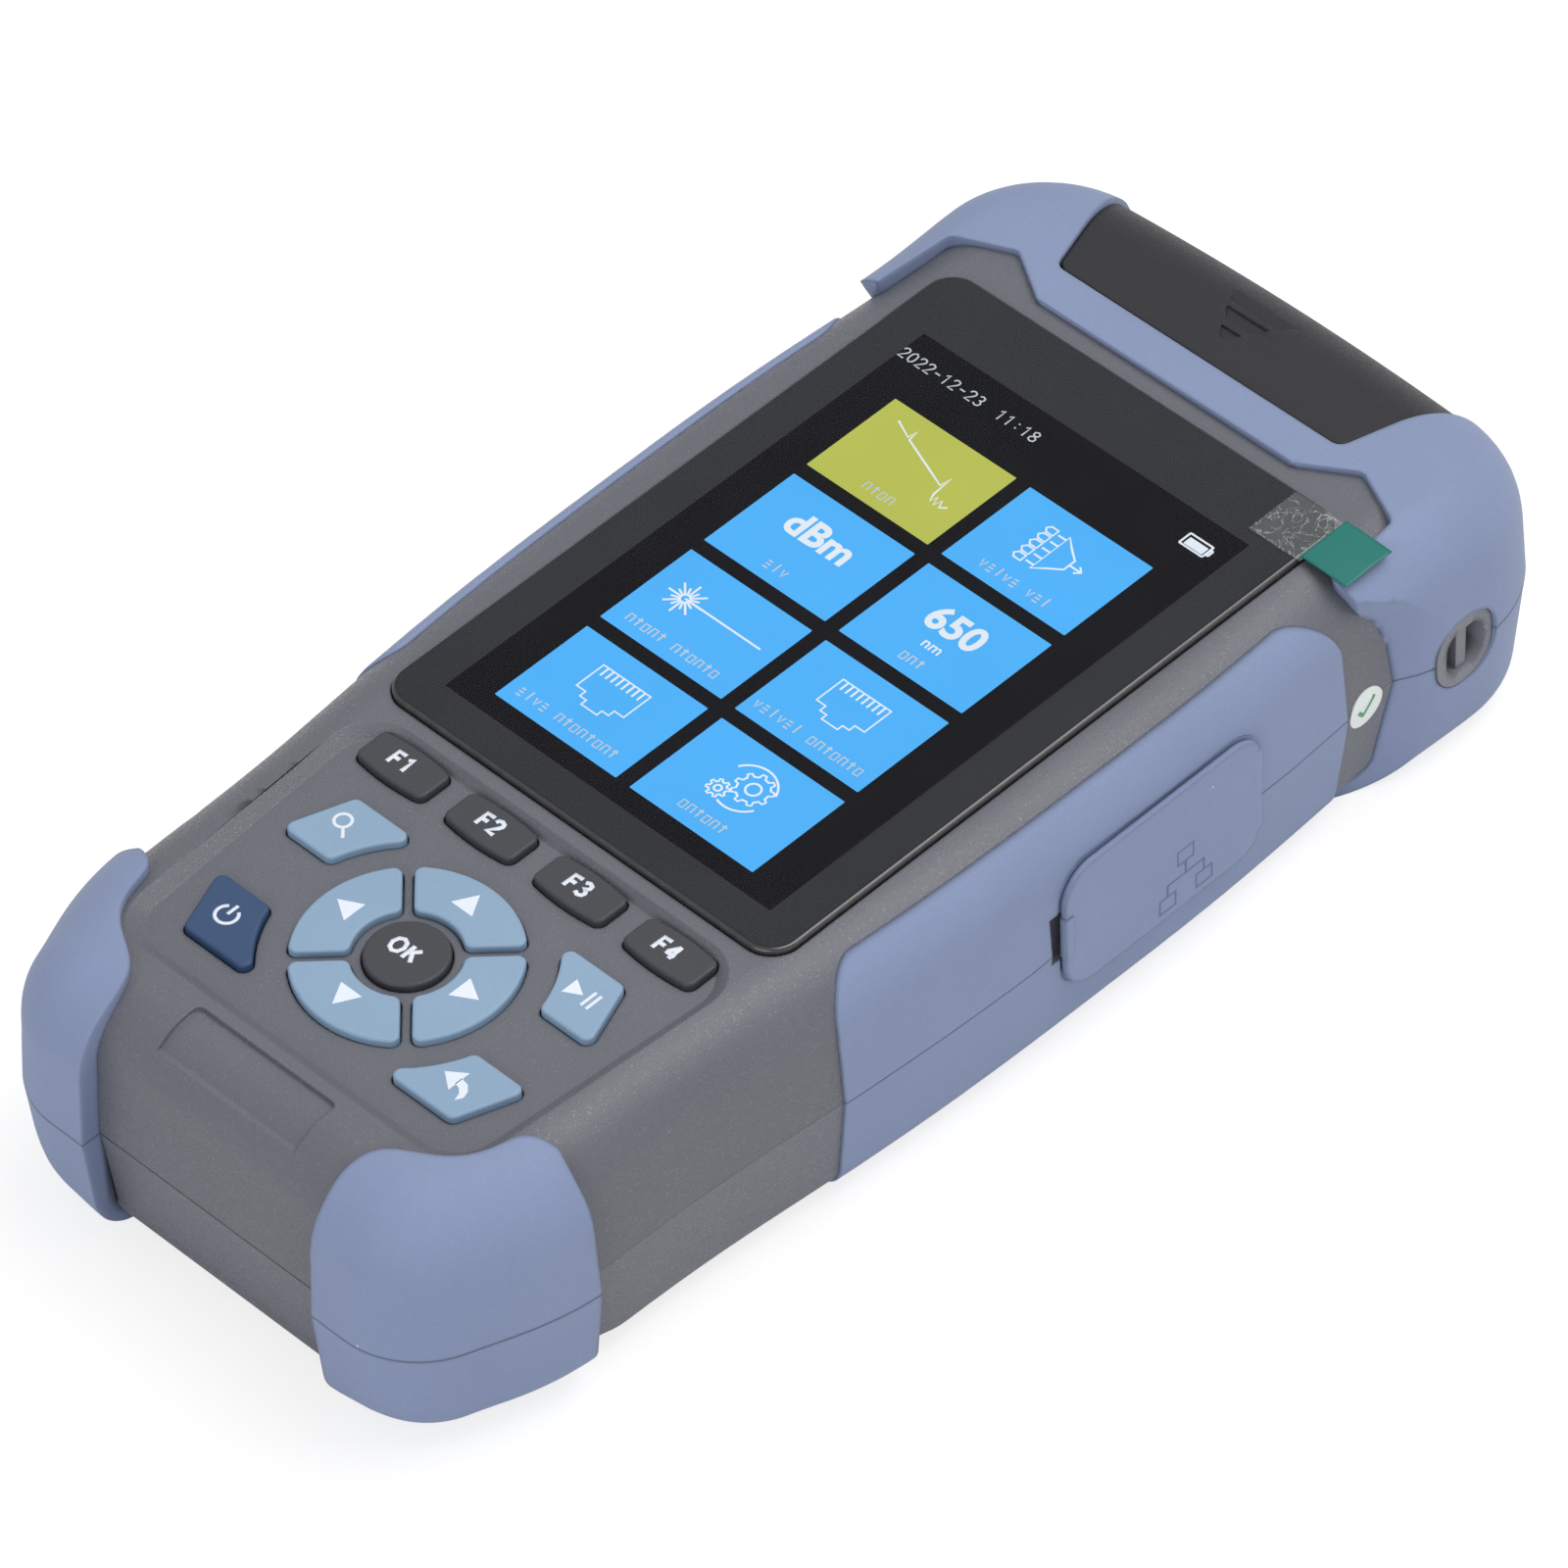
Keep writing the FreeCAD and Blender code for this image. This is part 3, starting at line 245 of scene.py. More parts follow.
def moulded_surface_group():
    """Spark-eroded grain, slow changes of tone, bright flecks, stray lint and the parting line's shade."""
    name = "moulded_surface"
    if name in bpy.data.node_groups:
        return bpy.data.node_groups[name]
    tree, given, result = new_group(name, "ShaderNodeTree", [
        ("Colour", "NodeSocketColor", (0.5, 0.5, 0.5, 1.0)),
        ("Roughness", "NodeSocketFloat", 0.5),
        ("Grain Size", "NodeSocketFloat", mm(0.3)),
        ("Grain Depth", "NodeSocketFloat", mm(0.01)),
        ("Flecks", "NodeSocketFloat", 0.2),
        ("Lint", "NodeSocketFloat", 0.0),
        ("Edge", "NodeSocketFloat", mm(0.2)),
        ("Seam", "NodeSocketFloat", 0.0),
        ("Seam Limit", "NodeSocketFloat", 1.0),
    ], [("Colour", "NodeSocketColor"), ("Roughness", "NodeSocketFloat"), ("Normal", "NodeSocketVector")])
    value = given.outputs
    place = object_place(tree)
    scale = calculate(tree, "DIVIDE", 1.0, value["Grain Size"])
    grain = noise(tree, place, scale, 3.0)
    uneven = calculate(tree, "SUBTRACT", grain, 0.5)
    cells = add(tree, "ShaderNodeTexVoronoi", {"Vector": place, "Scale": scale})
    chance = add(tree, "ShaderNodeSeparateColor", {"Color": cells.outputs["Color"]}).outputs[0]
    bright = calculate(tree, "GREATER_THAN", chance, DULL_SHARE)
    fleck = calculate(tree, "MULTIPLY", bright, value["Flecks"])
    light = calculate(tree, "ADD", ranged(tree, noise(tree, place, TONE_SCALE, 2.0), 0.93, 1.07), fleck)
    light = calculate(tree, "ADD", light, calculate(tree, "MULTIPLY", uneven, value["Flecks"]))
    specks = add(tree, "ShaderNodeTexVoronoi", {"Vector": place, "Scale": LINT_SCALE})
    near = calculate(tree, "LESS_THAN", specks.outputs["Distance"], LINT_REACH)
    rare = add(tree, "ShaderNodeSeparateColor", {"Color": specks.outputs["Color"]}).outputs[1]
    rare = calculate(tree, "LESS_THAN", rare, value["Lint"])
    lint = calculate(tree, "MULTIPLY", calculate(tree, "MULTIPLY", near, rare), 0.7)
    axes = add(tree, "ShaderNodeSeparateXYZ", {0: place}).outputs
    within = calculate(tree, "LESS_THAN", axes[1], value["Seam Limit"])
    away = calculate(tree, "ABSOLUTE", calculate(tree, "SUBTRACT", axes[2], PARTING))
    seam = add(tree, "ShaderNodeMapRange", {
        "Value": away, "From Min": SEAM_REACH[0], "From Max": SEAM_REACH[1],
        "To Min": value["Seam"], "To Max": 0.0}).outputs[0]
    seam = calculate(tree, "MULTIPLY", seam, within)
    clean = toned(tree, toned(tree, value["Colour"], light), calculate(tree, "SUBTRACT", 1.0, seam))
    rough = calculate(tree, "MULTIPLY_ADD", uneven, 0.12, value["Roughness"])
    soft = add(tree, "ShaderNodeBevel", {"Radius": value["Edge"]}, samples=6).outputs[0]
    bump = add(tree, "ShaderNodeBump", {"Height": calculate(tree, "ADD", grain, fleck),
                                        "Distance": value["Grain Depth"], "Normal": soft})
    feed(tree, result, {"Colour": mix_colour(tree, lint, clean, LINT_COLOUR),
                        "Roughness": calculate(tree, "SUBTRACT", rough, fleck),
                        "Normal": bump.outputs[0]})
    return tree


def new_material(name):
    """Empty material with its node tree and its surface shader."""
    material = bpy.data.materials.new(name)
    material.use_nodes = True
    return material, material.node_tree, material.node_tree.nodes["Principled BSDF"]


def moulded(name, colour, roughness, grain, depth, flecks, lint, edge=0.2, seam=0.0,
            seam_limit=1.0, **shader):
    """Moulded plastic or rubber; grain, depth and the edge's softness are in millimetres."""
    if name in bpy.data.materials:
        return bpy.data.materials[name]
    material, tree, principled = new_material(name)
    surface = add(tree, "ShaderNodeGroup", {
        "Colour": (*colour[:3], 1.0), "Roughness": roughness, "Grain Size": mm(grain),
        "Grain Depth": mm(depth), "Flecks": flecks, "Lint": lint, "Edge": mm(edge), "Seam": seam,
        "Seam Limit": seam_limit}, node_tree=moulded_surface_group()).outputs
    feed(tree, principled, {"Base Color": surface["Colour"], "Roughness": surface["Roughness"],
                            "Normal": surface["Normal"]})
    feed(tree, principled, {key.replace("_", " "): value for key, value in shader.items()})
    return material


# The lower half's plastic is painted a little lighter, as painted bounce light from the table under it, and the
# casing's parting line shows at the near end alone
PAINTED_BOUNCE_LIGHT = 1.15
CASING_SEAM_LIMIT = mm(-80)


def finishes():
    """Every moulded finish of the unit, by the name that the operators use."""
    c = colours()
    casing = {"roughness": 0.4, "grain": 0.2, "depth": 0.07, "flecks": 0.2, "lint": 0.004, "edge": 0.35,
              "seam": 0.85, "seam_limit": CASING_SEAM_LIMIT, "Specular_IOR_Level": 0.5}
    rubber = {"roughness": 0.62, "grain": 0.3, "depth": 0.012, "flecks": 0.03, "lint": 0.012,
              "Specular_IOR_Level": 0.35, "Sheen_Weight": 0.08, "Sheen_Roughness": 0.5}
    made = {
        "casing": moulded("casing_grain", c.casing, **casing),
        # The casing's colour made lighter for the lower half: painted bounce light from the table
        "casing_painted_bounce": moulded("casing_grain_low", [PAINTED_BOUNCE_LIGHT * v for v in c.casing], **casing),
        "rubber": moulded("soft_rubber", c.rubber, edge=0.4, seam=0.45, **rubber),
        "guard": moulded("guard_rubber", c.rubber, edge=0.85, seam=0.45, **rubber),
        "flap": moulded("flap_rubber", c.rubber, edge=0.9, **rubber),
    }
    for kind, name, roughness, grain, depth, flecks, lint, edge in (
            ("cover", "cover_plastic", 0.5, 0.2, 0.04, 0.12, 0.07, 0.35),
            ("light_key", "light_key_finish", 0.5, 0.25, 0.01, 0.03, 0.006, 0.2),
            ("dark_key", "dark_key_finish", 0.5, 0.2, 0.02, 0.08, 0.02, 0.2),
            ("power_key", "power_key_finish", 0.5, 0.25, 0.01, 0.04, 0.006, 0.2),
            ("eye", "eye_finish", 0.42, 0.25, 0.01, 0.04, 0.0, 0.2)):
        made[kind] = moulded(name, getattr(c, kind), roughness, grain, depth, flecks, lint, edge,
                             Specular_IOR_Level=0.4)
    return made


def black_moulding():
    """Plain dark plastic of the inner parts."""
    return moulded("black_moulding", linear(30, 30, 33), 0.5, 0.2, 0.01, 0.05, 0.0)


def plain_paint(name, colour, roughness=0.45):
    """Printed ink: nearly even, with a little mottling."""
    return moulded(name, colour, roughness, 0.12, 0.002, 0.05, 0.0, 0.01, Specular_IOR_Level=0.3)


def glowing(name, colour, strength=1.0, mottle=0.05):
    """Lit part of the screen, slightly uneven like a backlight."""
    if name in bpy.data.materials:
        return bpy.data.materials[name]
    material, tree, principled = new_material(name)
    light = ranged(tree, noise(tree, object_place(tree), 90.0, 4.0), 1.0 - mottle, 1.0 + mottle)
    feed(tree, principled, {
        "Emission Color": toned(tree, colour[:3], light), "Emission Strength": strength,
        "Base Color": (0.004, 0.004, 0.005, 1.0), "Roughness": 0.25, "Specular IOR Level": 0.08})
    return material


# Meshes


def link(name, data, *materials):
    """New object at the origin, in the scene."""
    made = bpy.data.objects.new(name, data)
    bpy.context.scene.collection.objects.link(made)
    for material in materials:
        data.materials.append(material)
    return made


def made_from(form, name, *materials):
    """New object from a mesh that is being edited."""
    mesh = bpy.data.meshes.new(name)
    form.to_mesh(mesh)
    form.free()
    return link(name, mesh, *materials)


def evaluated_mesh(piece):
    """Plain mesh of a piece or curve, with its modifiers worked out."""
    bpy.context.view_layer.update()
    return bpy.data.meshes.new_from_object(piece.evaluated_get(bpy.context.evaluated_depsgraph_get()))


def prisms(name, outlines, low, high, material):
    """Upright plates between two heights, one for each closed outline of (x, y) points."""
    form = bmesh.new()
    for outline in outlines:
        ring = [form.verts.new((x, y, low)) for x, y in outline]
        face = form.faces.new(ring)
        lifted = bmesh.ops.extrude_face_region(form, geom=[face])["geom"]
        verts = [v for v in lifted if isinstance(v, bmesh.types.BMVert)]
        bmesh.ops.translate(form, verts=verts, vec=(0, 0, high - low))
    bmesh.ops.recalc_face_normals(form, faces=form.faces)
    return made_from(form, name, material)


def rounded_rectangle(width, height, radius, centre=(0.0, 0.0), steps=6):
    """Outline of a rectangle with round corners, anticlockwise."""
    points = []
    for corner in range(4):
        sx, sy = ((1, 1), (-1, 1), (-1, -1), (1, -1))[corner]
        for i in range(steps + 1):
            angle = math.pi / 2 * (corner + i / steps)
            points.append((centre[0] + sx * (width / 2 - radius) + radius * math.cos(angle),
                           centre[1] + sy * (height / 2 - radius) + radius * math.sin(angle)))
    return points


def arc(centre, radius, start, end, steps=24):
    """Points of a circle's arc, with its angles in degrees."""
    angles = [math.radians(start + (end - start) * i / steps) for i in range(steps + 1)]
    return [(centre[0] + radius * math.cos(a), centre[1] + radius * math.sin(a)) for a in angles]


def end_group(tree, given, result, geometry):
    """Ends a geometry tree: its pieces are made real and get their material."""
    real = add(tree, "GeometryNodeRealizeInstances", {"Geometry": geometry})
    painted = add(tree, "GeometryNodeSetMaterial",
                  {"Geometry": real.outputs[0], "Material": given.outputs["Material"]})
    tree.links.new(painted.outputs[0], result.inputs[0])
    return tree


def ribbon_group():
    """Geometry tree that turns lines into flat ribbons of one width and thickness."""
    name = "painted_line"
    if name in bpy.data.node_groups:
        return bpy.data.node_groups[name]
    tree, given, result = new_group(name, "GeometryNodeTree", [
        ("Geometry", "NodeSocketGeometry", None),
        ("Width", "NodeSocketFloat", mm(0.3)),
        ("Thickness", "NodeSocketFloat", mm(0.03)),
        ("Material", "NodeSocketMaterial", None),
    ], [("Geometry", "NodeSocketGeometry")])
    upright = add(tree, "GeometryNodeSetCurveNormal", {"Curve": given.outputs["Geometry"]}, mode="Z_UP")
    profile = add(tree, "GeometryNodeCurvePrimitiveQuadrilateral",
                  {"Width": given.outputs["Width"], "Height": given.outputs["Thickness"]})
    swept = add(tree, "GeometryNodeCurveToMesh", {
        "Curve": upright.outputs[0], "Profile Curve": profile.outputs[0], "Fill Caps": True})
    return end_group(tree, given, result, swept.outputs[0])


def tile_group():
    """Geometry tree that repeats one plate in rows and columns."""
    tree, given, result = new_group("tile_grid", "GeometryNodeTree", [
        ("Geometry", "NodeSocketGeometry", None),
        ("Columns", "NodeSocketInt", 2),
        ("Rows", "NodeSocketInt", 4),
        ("Column Pitch", "NodeSocketFloat", 0.02),
        ("Row Pitch", "NodeSocketFloat", 0.016),
        ("Material", "NodeSocketMaterial", None),
    ], [("Geometry", "NodeSocketGeometry")])
    value = given.outputs
    spans = [calculate(tree, "MULTIPLY", calculate(tree, "SUBTRACT", value[count], 1.0), value[pitch])
             for count, pitch in (("Columns", "Column Pitch"), ("Rows", "Row Pitch"))]
    grid = add(tree, "GeometryNodeMeshGrid", {
        "Size X": spans[0], "Size Y": spans[1], "Vertices X": value["Columns"],
        "Vertices Y": value["Rows"]})
    placed = add(tree, "GeometryNodeInstanceOnPoints",
                 {"Points": grid.outputs[0], "Instance": value["Geometry"]})
    return end_group(tree, given, result, placed.outputs[0])


def run_geometry(source, tree, values, name):
    """Runs a geometry tree on an object and keeps the result as a plain mesh in its place."""
    modifier = source.modifiers.new("shape", "NODES")
    modifier.node_group = tree
    for item in tree.interface.items_tree:
        if item.in_out == "INPUT" and item.name in values:
            modifier[item.identifier] = values[item.name]
    mesh = evaluated_mesh(source)
    mesh.name = name
    bpy.data.objects.remove(source)
    return link(name, mesh)


# Each stroke of a drawing lies this much higher than the one before it, so that crossing strokes don't coincide
STROKE_STEP = mm(0.003)


def ribbons(name, lines, width, thickness, material):
    """Ribbons of one width along lines of points, as one plain mesh; a line that ends where it began is closed."""
    curve = bpy.data.curves.new(name, "CURVE")
    curve.dimensions = "3D"
    for index, line in enumerate(lines):
        closed = (Vector(line[0]) - Vector(line[-1])).length < 1e-9
        points = line[:-1] if closed else line
        spline = curve.splines.new("POLY")
        spline.points.add(len(points) - 1)
        for point, place in zip(spline.points, points):
            point.co = (place[0], place[1], place[2] + index * STROKE_STEP, 1.0)
        spline.use_cyclic_u = closed
    return run_geometry(link(name + "_lines", curve), ribbon_group(),
                        {"Width": width, "Thickness": thickness, "Material": material}, name)


def join(name, parts):
    """One object from several, keeping their materials."""
    form = bmesh.new()
    materials = []
    for part in parts:
        mesh = part.data
        start = len(form.faces)
        form.from_mesh(mesh)
        form.faces.ensure_lookup_table()
        lookup = []
        for material in mesh.materials:
            if material not in materials:
                materials.append(material)
            lookup.append(materials.index(material))
        for face in form.faces[start:]:
            face.material_index = lookup[min(face.material_index, len(lookup) - 1)]
    for part in parts:
        bpy.data.objects.remove(part)
    return made_from(form, name, *materials)


# Height of a capital letter as a part of the lettering's size
CAPITAL = 0.69


def lettering(name, text, height, centre, top, thickness, material, bold=0.0):
    """Flat raised lettering, centred on a point, facing up."""
    curve = bpy.data.curves.new(name, "FONT")
    curve.body = text
    curve.align_x = "CENTER"
    curve.align_y = "CENTER"
    curve.size = height / CAPITAL
    curve.extrude = thickness / 2
    curve.offset = bold
    curve.resolution_u = 4
    source = link(name + "_text", curve)
    mesh = evaluated_mesh(source)
    bpy.data.objects.remove(source)
    mesh.transform(Matrix.Translation((centre[0], centre[1], top - thickness / 2)))
    mesh.materials.clear()
    return link(name, mesh, material)


def cad_copy(node, name):
    """Merged copy of a CAD node's mesh as a new piece; its exact normals go along as an attribute."""
    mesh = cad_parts[node].data.copy()
    exact = mesh.attributes.new("exact_normal", "FLOAT_VECTOR", "CORNER")
    exact.data.foreach_set("vector", [value for normal in mesh.corner_normals for value in normal.vector])
    form = bmesh.new()
    form.from_mesh(mesh)
    bmesh.ops.remove_doubles(form, verts=form.verts, dist=mm(0.01))
    form.to_mesh(mesh)
    form.free()
    return link(name, mesh)


def surface_of(piece):
    """A piece's mesh as a surface that rays can be cast at."""
    form = bmesh.new()
    form.from_mesh(piece.data)
    surface = BVHTree.FromBMesh(form)
    form.free()
    return surface


def exact_shading(piece):
    """Shades a copy by the normals of the surfaces that it was made from."""
    mesh = piece.data
    exact = mesh.attributes["exact_normal"]
    for polygon in mesh.polygons:
        polygon.use_smooth = True
    mesh.normals_split_custom_set([tuple(corner.vector) for corner in exact.data])
    return piece


def smooth_by_angle(piece, angle=30.0):
    """Smooth shading that keeps flat faces flat and sharp edges sharp."""
    for polygon in piece.data.polygons:
        polygon.use_smooth = True
    piece.data.set_sharp_from_angle(angle=math.radians(angle))
    even = piece.modifiers.new("even", "WEIGHTED_NORMAL")
    even.keep_sharp = True
    even.weight = 80
    return piece


# A face belongs to a piece's outer skin where it looks outwards at least this much
SKIN_FACING = 0.35
# Least thickness that a sunk skin keeps over the casing
SKIN_LEFT = mm(0.45)


def sunk(piece, outward, depth):
    """Moves a piece's outer skin back along its normals, as far as the casing under it allows.

    The depth is a length, or a function of the place; without a direction the skin is the head guard's.
    """
    shells = [surface_of(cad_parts[node]) for node in ("front_shell", "rear_shell")]
    form = bmesh.new()
    form.from_mesh(piece.data)
    form.normal_update()
    moves = {}
    for face in form.faces:
        if (face.normal.dot(outward) if outward else skin_facing(face)) > SKIN_FACING:
            for vert in face.verts:
                moves[vert] = moves.get(vert, Vector()) + face.normal * face.calc_area()
    for vert, normal in moves.items():
        normal.normalize()
        back = depth(vert.co) if callable(depth) else depth
        for shell in shells:
            distance = shell.ray_cast(vert.co + normal * mm(0.1), -normal, mm(5))[3]
            if distance is not None:
                back = min(back, max(0.0, distance - SKIN_LEFT))
        vert.co -= normal * back
    form.to_mesh(piece.data)
    form.free()
    return piece


# The head guard is an end beyond this place along the unit, and a side wall beyond this half width
HEAD_END = mm(75)
HEAD_SIDE = mm(34)


def skin_facing(face):
    """How far a face of the head guard looks out of the unit: to its side or up, as its place asks."""
    middle = face.calc_center_median()
    side = 1.0 if middle.x > 0 else -1.0
    if middle.y > HEAD_END:
        outward = Vector((side, 1, 0.6))
    elif abs(middle.x) > HEAD_SIDE:
        outward = Vector((side, 0, 0))
    else:
        outward = Vector((side * 0.2, 0, 1 if middle.z > PARTING else -1))
    return face.normal.dot(outward.normalized())


# Where the head guard's inset begins to fade, and over what length: outwards and along the unit
FADE_OUT = (mm(31), mm(4))
FADE_ALONG = (mm(70), mm(12))


def guard_depth(place):
    """Depth by which the head guard's skin lies back: all of it at its edge on the face, none farther on."""
    inner = 1.0 - eased((abs(place.x) - FADE_OUT[0]) / FADE_OUT[1])
    return sizes().guard_face * inner * (1.0 - eased((place.y - FADE_ALONG[0]) / FADE_ALONG[1]))


# The wedge that trims a side of the head guard: its outline in millimetres, and how far it leans out by height
NECK_OUTLINE = ((33.6, 50.0), (33.6, 49.0), (48.0, 49.0), (48.0, 72.0), (41.3, 72.0), (40.75, 66.0), (40.2, 63.0),
                (39.5, 61.0), (38.2, 58.6))
NECK_LEAN = ((-1.0, 0.0), (23.0, 0.0), (26.0, 0.4), (29.0, 1.3), (32.0, 2.6), (36.0, 4.8))


def neck_wedge(side):
    """Wedge that tapers a side of the head guard down to the casing at its near edge."""
    form = bmesh.new()
    rings = [[form.verts.new((side * mm(x + out), mm(y), mm(z))) for x, y in NECK_OUTLINE]
             for z, out in NECK_LEAN]
    form.faces.new(rings[0])
    form.faces.new(rings[-1])
    for low, high in zip(rings, rings[1:]):
        for i in range(len(low)):
            form.faces.new((low[i], low[i - 1], high[i - 1], high[i]))
    bmesh.ops.recalc_face_normals(form, faces=form.faces)
    return made_from(form, "neck_wedge", finishes()["rubber"])


def thinned(piece, side, base, share):
    """Brings everything outside a side plane closer to it."""
    for vertex in piece.data.vertices:
        out = side * vertex.co.x - base
        if out > 0:
            vertex.co.x = side * (base + out * share)
    return piece


def eased(value):
    """Smooth step from 0 to 1."""
    value = min(1.0, max(0.0, value))
    return value * value * (3.0 - 2.0 * value)


# Where the near corners begin to roll in, and over what lengths they get to the full roll
ROLL_START = (mm(17.0), mm(-58.0))
ROLL_EASE = (mm(9.0), mm(7.0))


def rolled_corner(piece, height, depth):
    """Rolls the two near lower corners of a piece inwards, the more the closer to the table."""
    for vertex in piece.data.vertices:
        drop = (height - vertex.co.z) / height
        side = 1.0 if vertex.co.x > 0 else -1.0
        out_x = side * vertex.co.x - ROLL_START[0]
        out_y = ROLL_START[1] - vertex.co.y
        if drop <= 0 or out_x <= 0 or out_y <= 0:
            continue
        inset = depth * (1.0 - math.sqrt(1.0 - min(1.0, drop) ** 2))
        inset *= eased(out_x / ROLL_EASE[0]) * eased(out_y / ROLL_EASE[1])
        reach = math.hypot(out_x, out_y)
        vertex.co.x -= side * inset * out_x / reach
        vertex.co.y += inset * out_y / reach
    return piece


def finished(piece, material):
    """Gives a piece one finish."""
    piece.data.materials.clear()
    piece.data.materials.append(material)
    return piece


def paint(node, material):
    """Gives a carried-over CAD node one finish."""
    return finished(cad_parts[node], material)


def nodes_named(*starts):
    """Names of the CAD nodes that begin so."""
    return [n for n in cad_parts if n.startswith(starts)]


def divided(line, pieces=8):
    """A line with more points, so that it can follow a curved surface."""
    points = [line[0]]
    for start, end in zip(line, line[1:]):
        points += [tuple(a + (b - a) * i / pieces for a, b in zip(start, end)) for i in range(1, pieces + 1)]
    return points


# Marks are laid on from beyond the unit, this far from its middle
BEYOND = mm(60)


def settle(piece, node):
    """Lays a flat marking on the upper surface of a CAD node, point by point."""
    surface = surface_of(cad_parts[node])
    for vertex in piece.data.vertices:
        hit = surface.ray_cast(Vector((vertex.co.x, vertex.co.y, BEYOND)), Vector((0, 0, -1)))[0]
        if hit is not None:
            vertex.co.z += hit.z
    return piece


def side_mark(name, lines, width, thickness, material, carrier):
    """Ribbons on the right side of a piece, along lines of (y, z) points."""
    mark = ribbons(name, [[(-z, y, 0.0) for y, z in line] for line in lines], width, thickness, material)
    mark.data.transform(Matrix.Rotation(math.radians(90), 4, "Y"))
    surface = surface_of(carrier)
    for vertex in mark.data.vertices:
        hit = surface.ray_cast(Vector((BEYOND, vertex.co.y, vertex.co.z)), Vector((-1, 0, 0)))[0]
        if hit is not None:
            vertex.co.x += hit.x
    return mark


def ride(piece, body):
    """Fixes a piece to the body that carries it."""
    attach(piece, body)
    return piece


# Casing and overmoulds


def dress(piece, node, material, body):
    """Puts a finished piece in the place of a CAD node."""
    ride(finished(piece, material), body)
    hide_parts(node)


class TESTER_OT_casing(bpy.types.Operator):
    """Finishes the two textured casing halves, the soft overmoulds and the lanyard eyes"""
    bl_idname = "tester.casing"
    bl_label = "Casing"
    bl_options = {"REGISTER", "UNDO"}

    def execute(self, context):
        finish = finishes()
        s = sizes()
        paint("front_shell", finish["casing"])
        for node in nodes_named("bumper_"):
            paint(node, finish["guard"])
        for node in nodes_named("end_guard_"):
            piece = sunk(cad_copy(node, node + "_eased"), None, guard_depth)
            piece = cut(piece, [neck_wedge(1), neck_wedge(-1)])
            dress(smooth_by_angle(piece), node, finish["guard"], HOUSING)
        for node in nodes_named("rear_shell", "bumper_left_lower", "bumper_right_lower"):
            # The rear shell takes the lighter copy of the casing, whose extra lightness is painted bounce light
            kind, slot = ("casing_painted_bounce", "casing_plastic") if node == "rear_shell" else ("guard", "soft_overmould")
            piece = rolled_corner(cad_copy(node, node + "_rolled"), s.corner_height, s.corner_depth)
            dress(smooth_by_angle(piece), node, finish[kind], HOUSING)
        for node in nodes_named("grip_"):
            side = 1.0 if "right" in node else -1.0
            piece = sunk(cad_copy(node, node + "_flush"), Vector((side, 0, 0)), s.flush)
            dress(exact_shading(piece), node, finish["rubber"], HOUSING)
        for node in nodes_named("lanyard_eye_"):
            side = 1.0 if "right" in node else -1.0
            piece = cad_copy(node, node + "_set")
            piece.data.transform(Matrix.Translation((-side * s.eye_inset, 0, 0)))
            dress(smooth_by_angle(piece), node, finish["eye"], HOUSING)
        return {"FINISHED"}


# Lens, picture and transit film


# The lens: its corner, and how far in and how far down each step of its ground rim lies
LENS_CORNER = mm(3.7)
LENS_RIM = ((mm(0.0), mm(0.38)), (mm(0.08), mm(0.16)), (mm(0.36), mm(0.0)))


def lens_mesh(name, materials):
    """Lens plate with a printed border, the flush window of the screen and a ground rim, in these materials."""
    s = sizes()
    low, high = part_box("screen_lens")
    width, height = high.x - low.x, high.y - low.y
    centre = ((low.x + high.x) / 2, (low.y + high.y) / 2)
    form = bmesh.new()
    loops = []
    for inset, z in [(0.0, low.z)] + [(inset, high.z - down) for inset, down in LENS_RIM]:
        outline = rounded_rectangle(width - 2 * inset, height - 2 * inset, LENS_CORNER - inset, centre, 8)
        loops.append([form.verts.new((x, y, z)) for x, y in outline])
    outline = rounded_rectangle(s.screen_width, s.screen_height, mm(0.15), (0.0, s.screen_y), 8)
    loops.append([form.verts.new((x, y, high.z)) for x, y in outline])
    for inner, outer, on_rim in zip(loops[1:], loops, (True, True, True, False)):
        for i in range(len(outer)):
            j = (i + 1) % len(outer)
            face = form.faces.new((outer[i], outer[j], inner[j], inner[i]))
            face.material_index = 2 if on_rim else 0
            face.smooth = on_rim
    form.faces.new(loops[-1]).material_index = 1
    form.faces.new(list(reversed(loops[0]))).material_index = 2
    bmesh.ops.recalc_face_normals(form, faces=form.faces)
    return made_from(form, name, *materials)


def print_material():
    """Dark print under the lens, faintly clouded by wiping marks in its reflections."""
    material, tree, principled = new_material("lens_print")
    smear = noise(tree, object_place(tree), 70.0, 5.0)
    feed(tree, principled, {
        "Base Color": toned(tree, colours().border, ranged(tree, smear, 0.9, 1.1)),
        "Roughness": ranged(tree, smear, 0.16, 0.34), "Specular IOR Level": 0.22})
    return material


def rim_material():
    """Ground edge of the lens, lighter than its print."""
    material, tree, principled = new_material("lens_rim")
    grind = noise(tree, object_place(tree), 900.0, 2.0)
    feed(tree, principled, {
        "Base Color": toned(tree, (1.0, 1.0, 1.05), ranged(tree, grind, 0.015, 0.05)),
        "Roughness": ranged(tree, grind, 0.12, 0.3), "Specular IOR Level": 0.9})
    return material


class TESTER_OT_lens(bpy.types.Operator):
    """Makes the lens with its ground rim, printed border and window, and finishes what lies under it"""
    bl_idname = "tester.lens"
    bl_label = "Lens"
    bl_options = {"REGISTER", "UNDO"}

    def execute(self, context):
        dark = glowing("screen_ground", colours().panel, 0.55, 0.25)
        lens = lens_mesh("lens_plate", (print_material(), dark, rim_material()))
        ride(lens, HOUSING)
        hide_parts("screen_lens")
        for node in nodes_named("display_module", "lens_gasket"):
            paint(node, black_moulding())
        return {"FINISHED"}


def shifted(lines, x, y, z=0.0, scale=1.0):
    """Lines in millimetres about their own middle, moved to a place in metres."""
    return [[(x + mm(px * scale), y + mm(py * scale), z) for px, py in line] for line in lines]


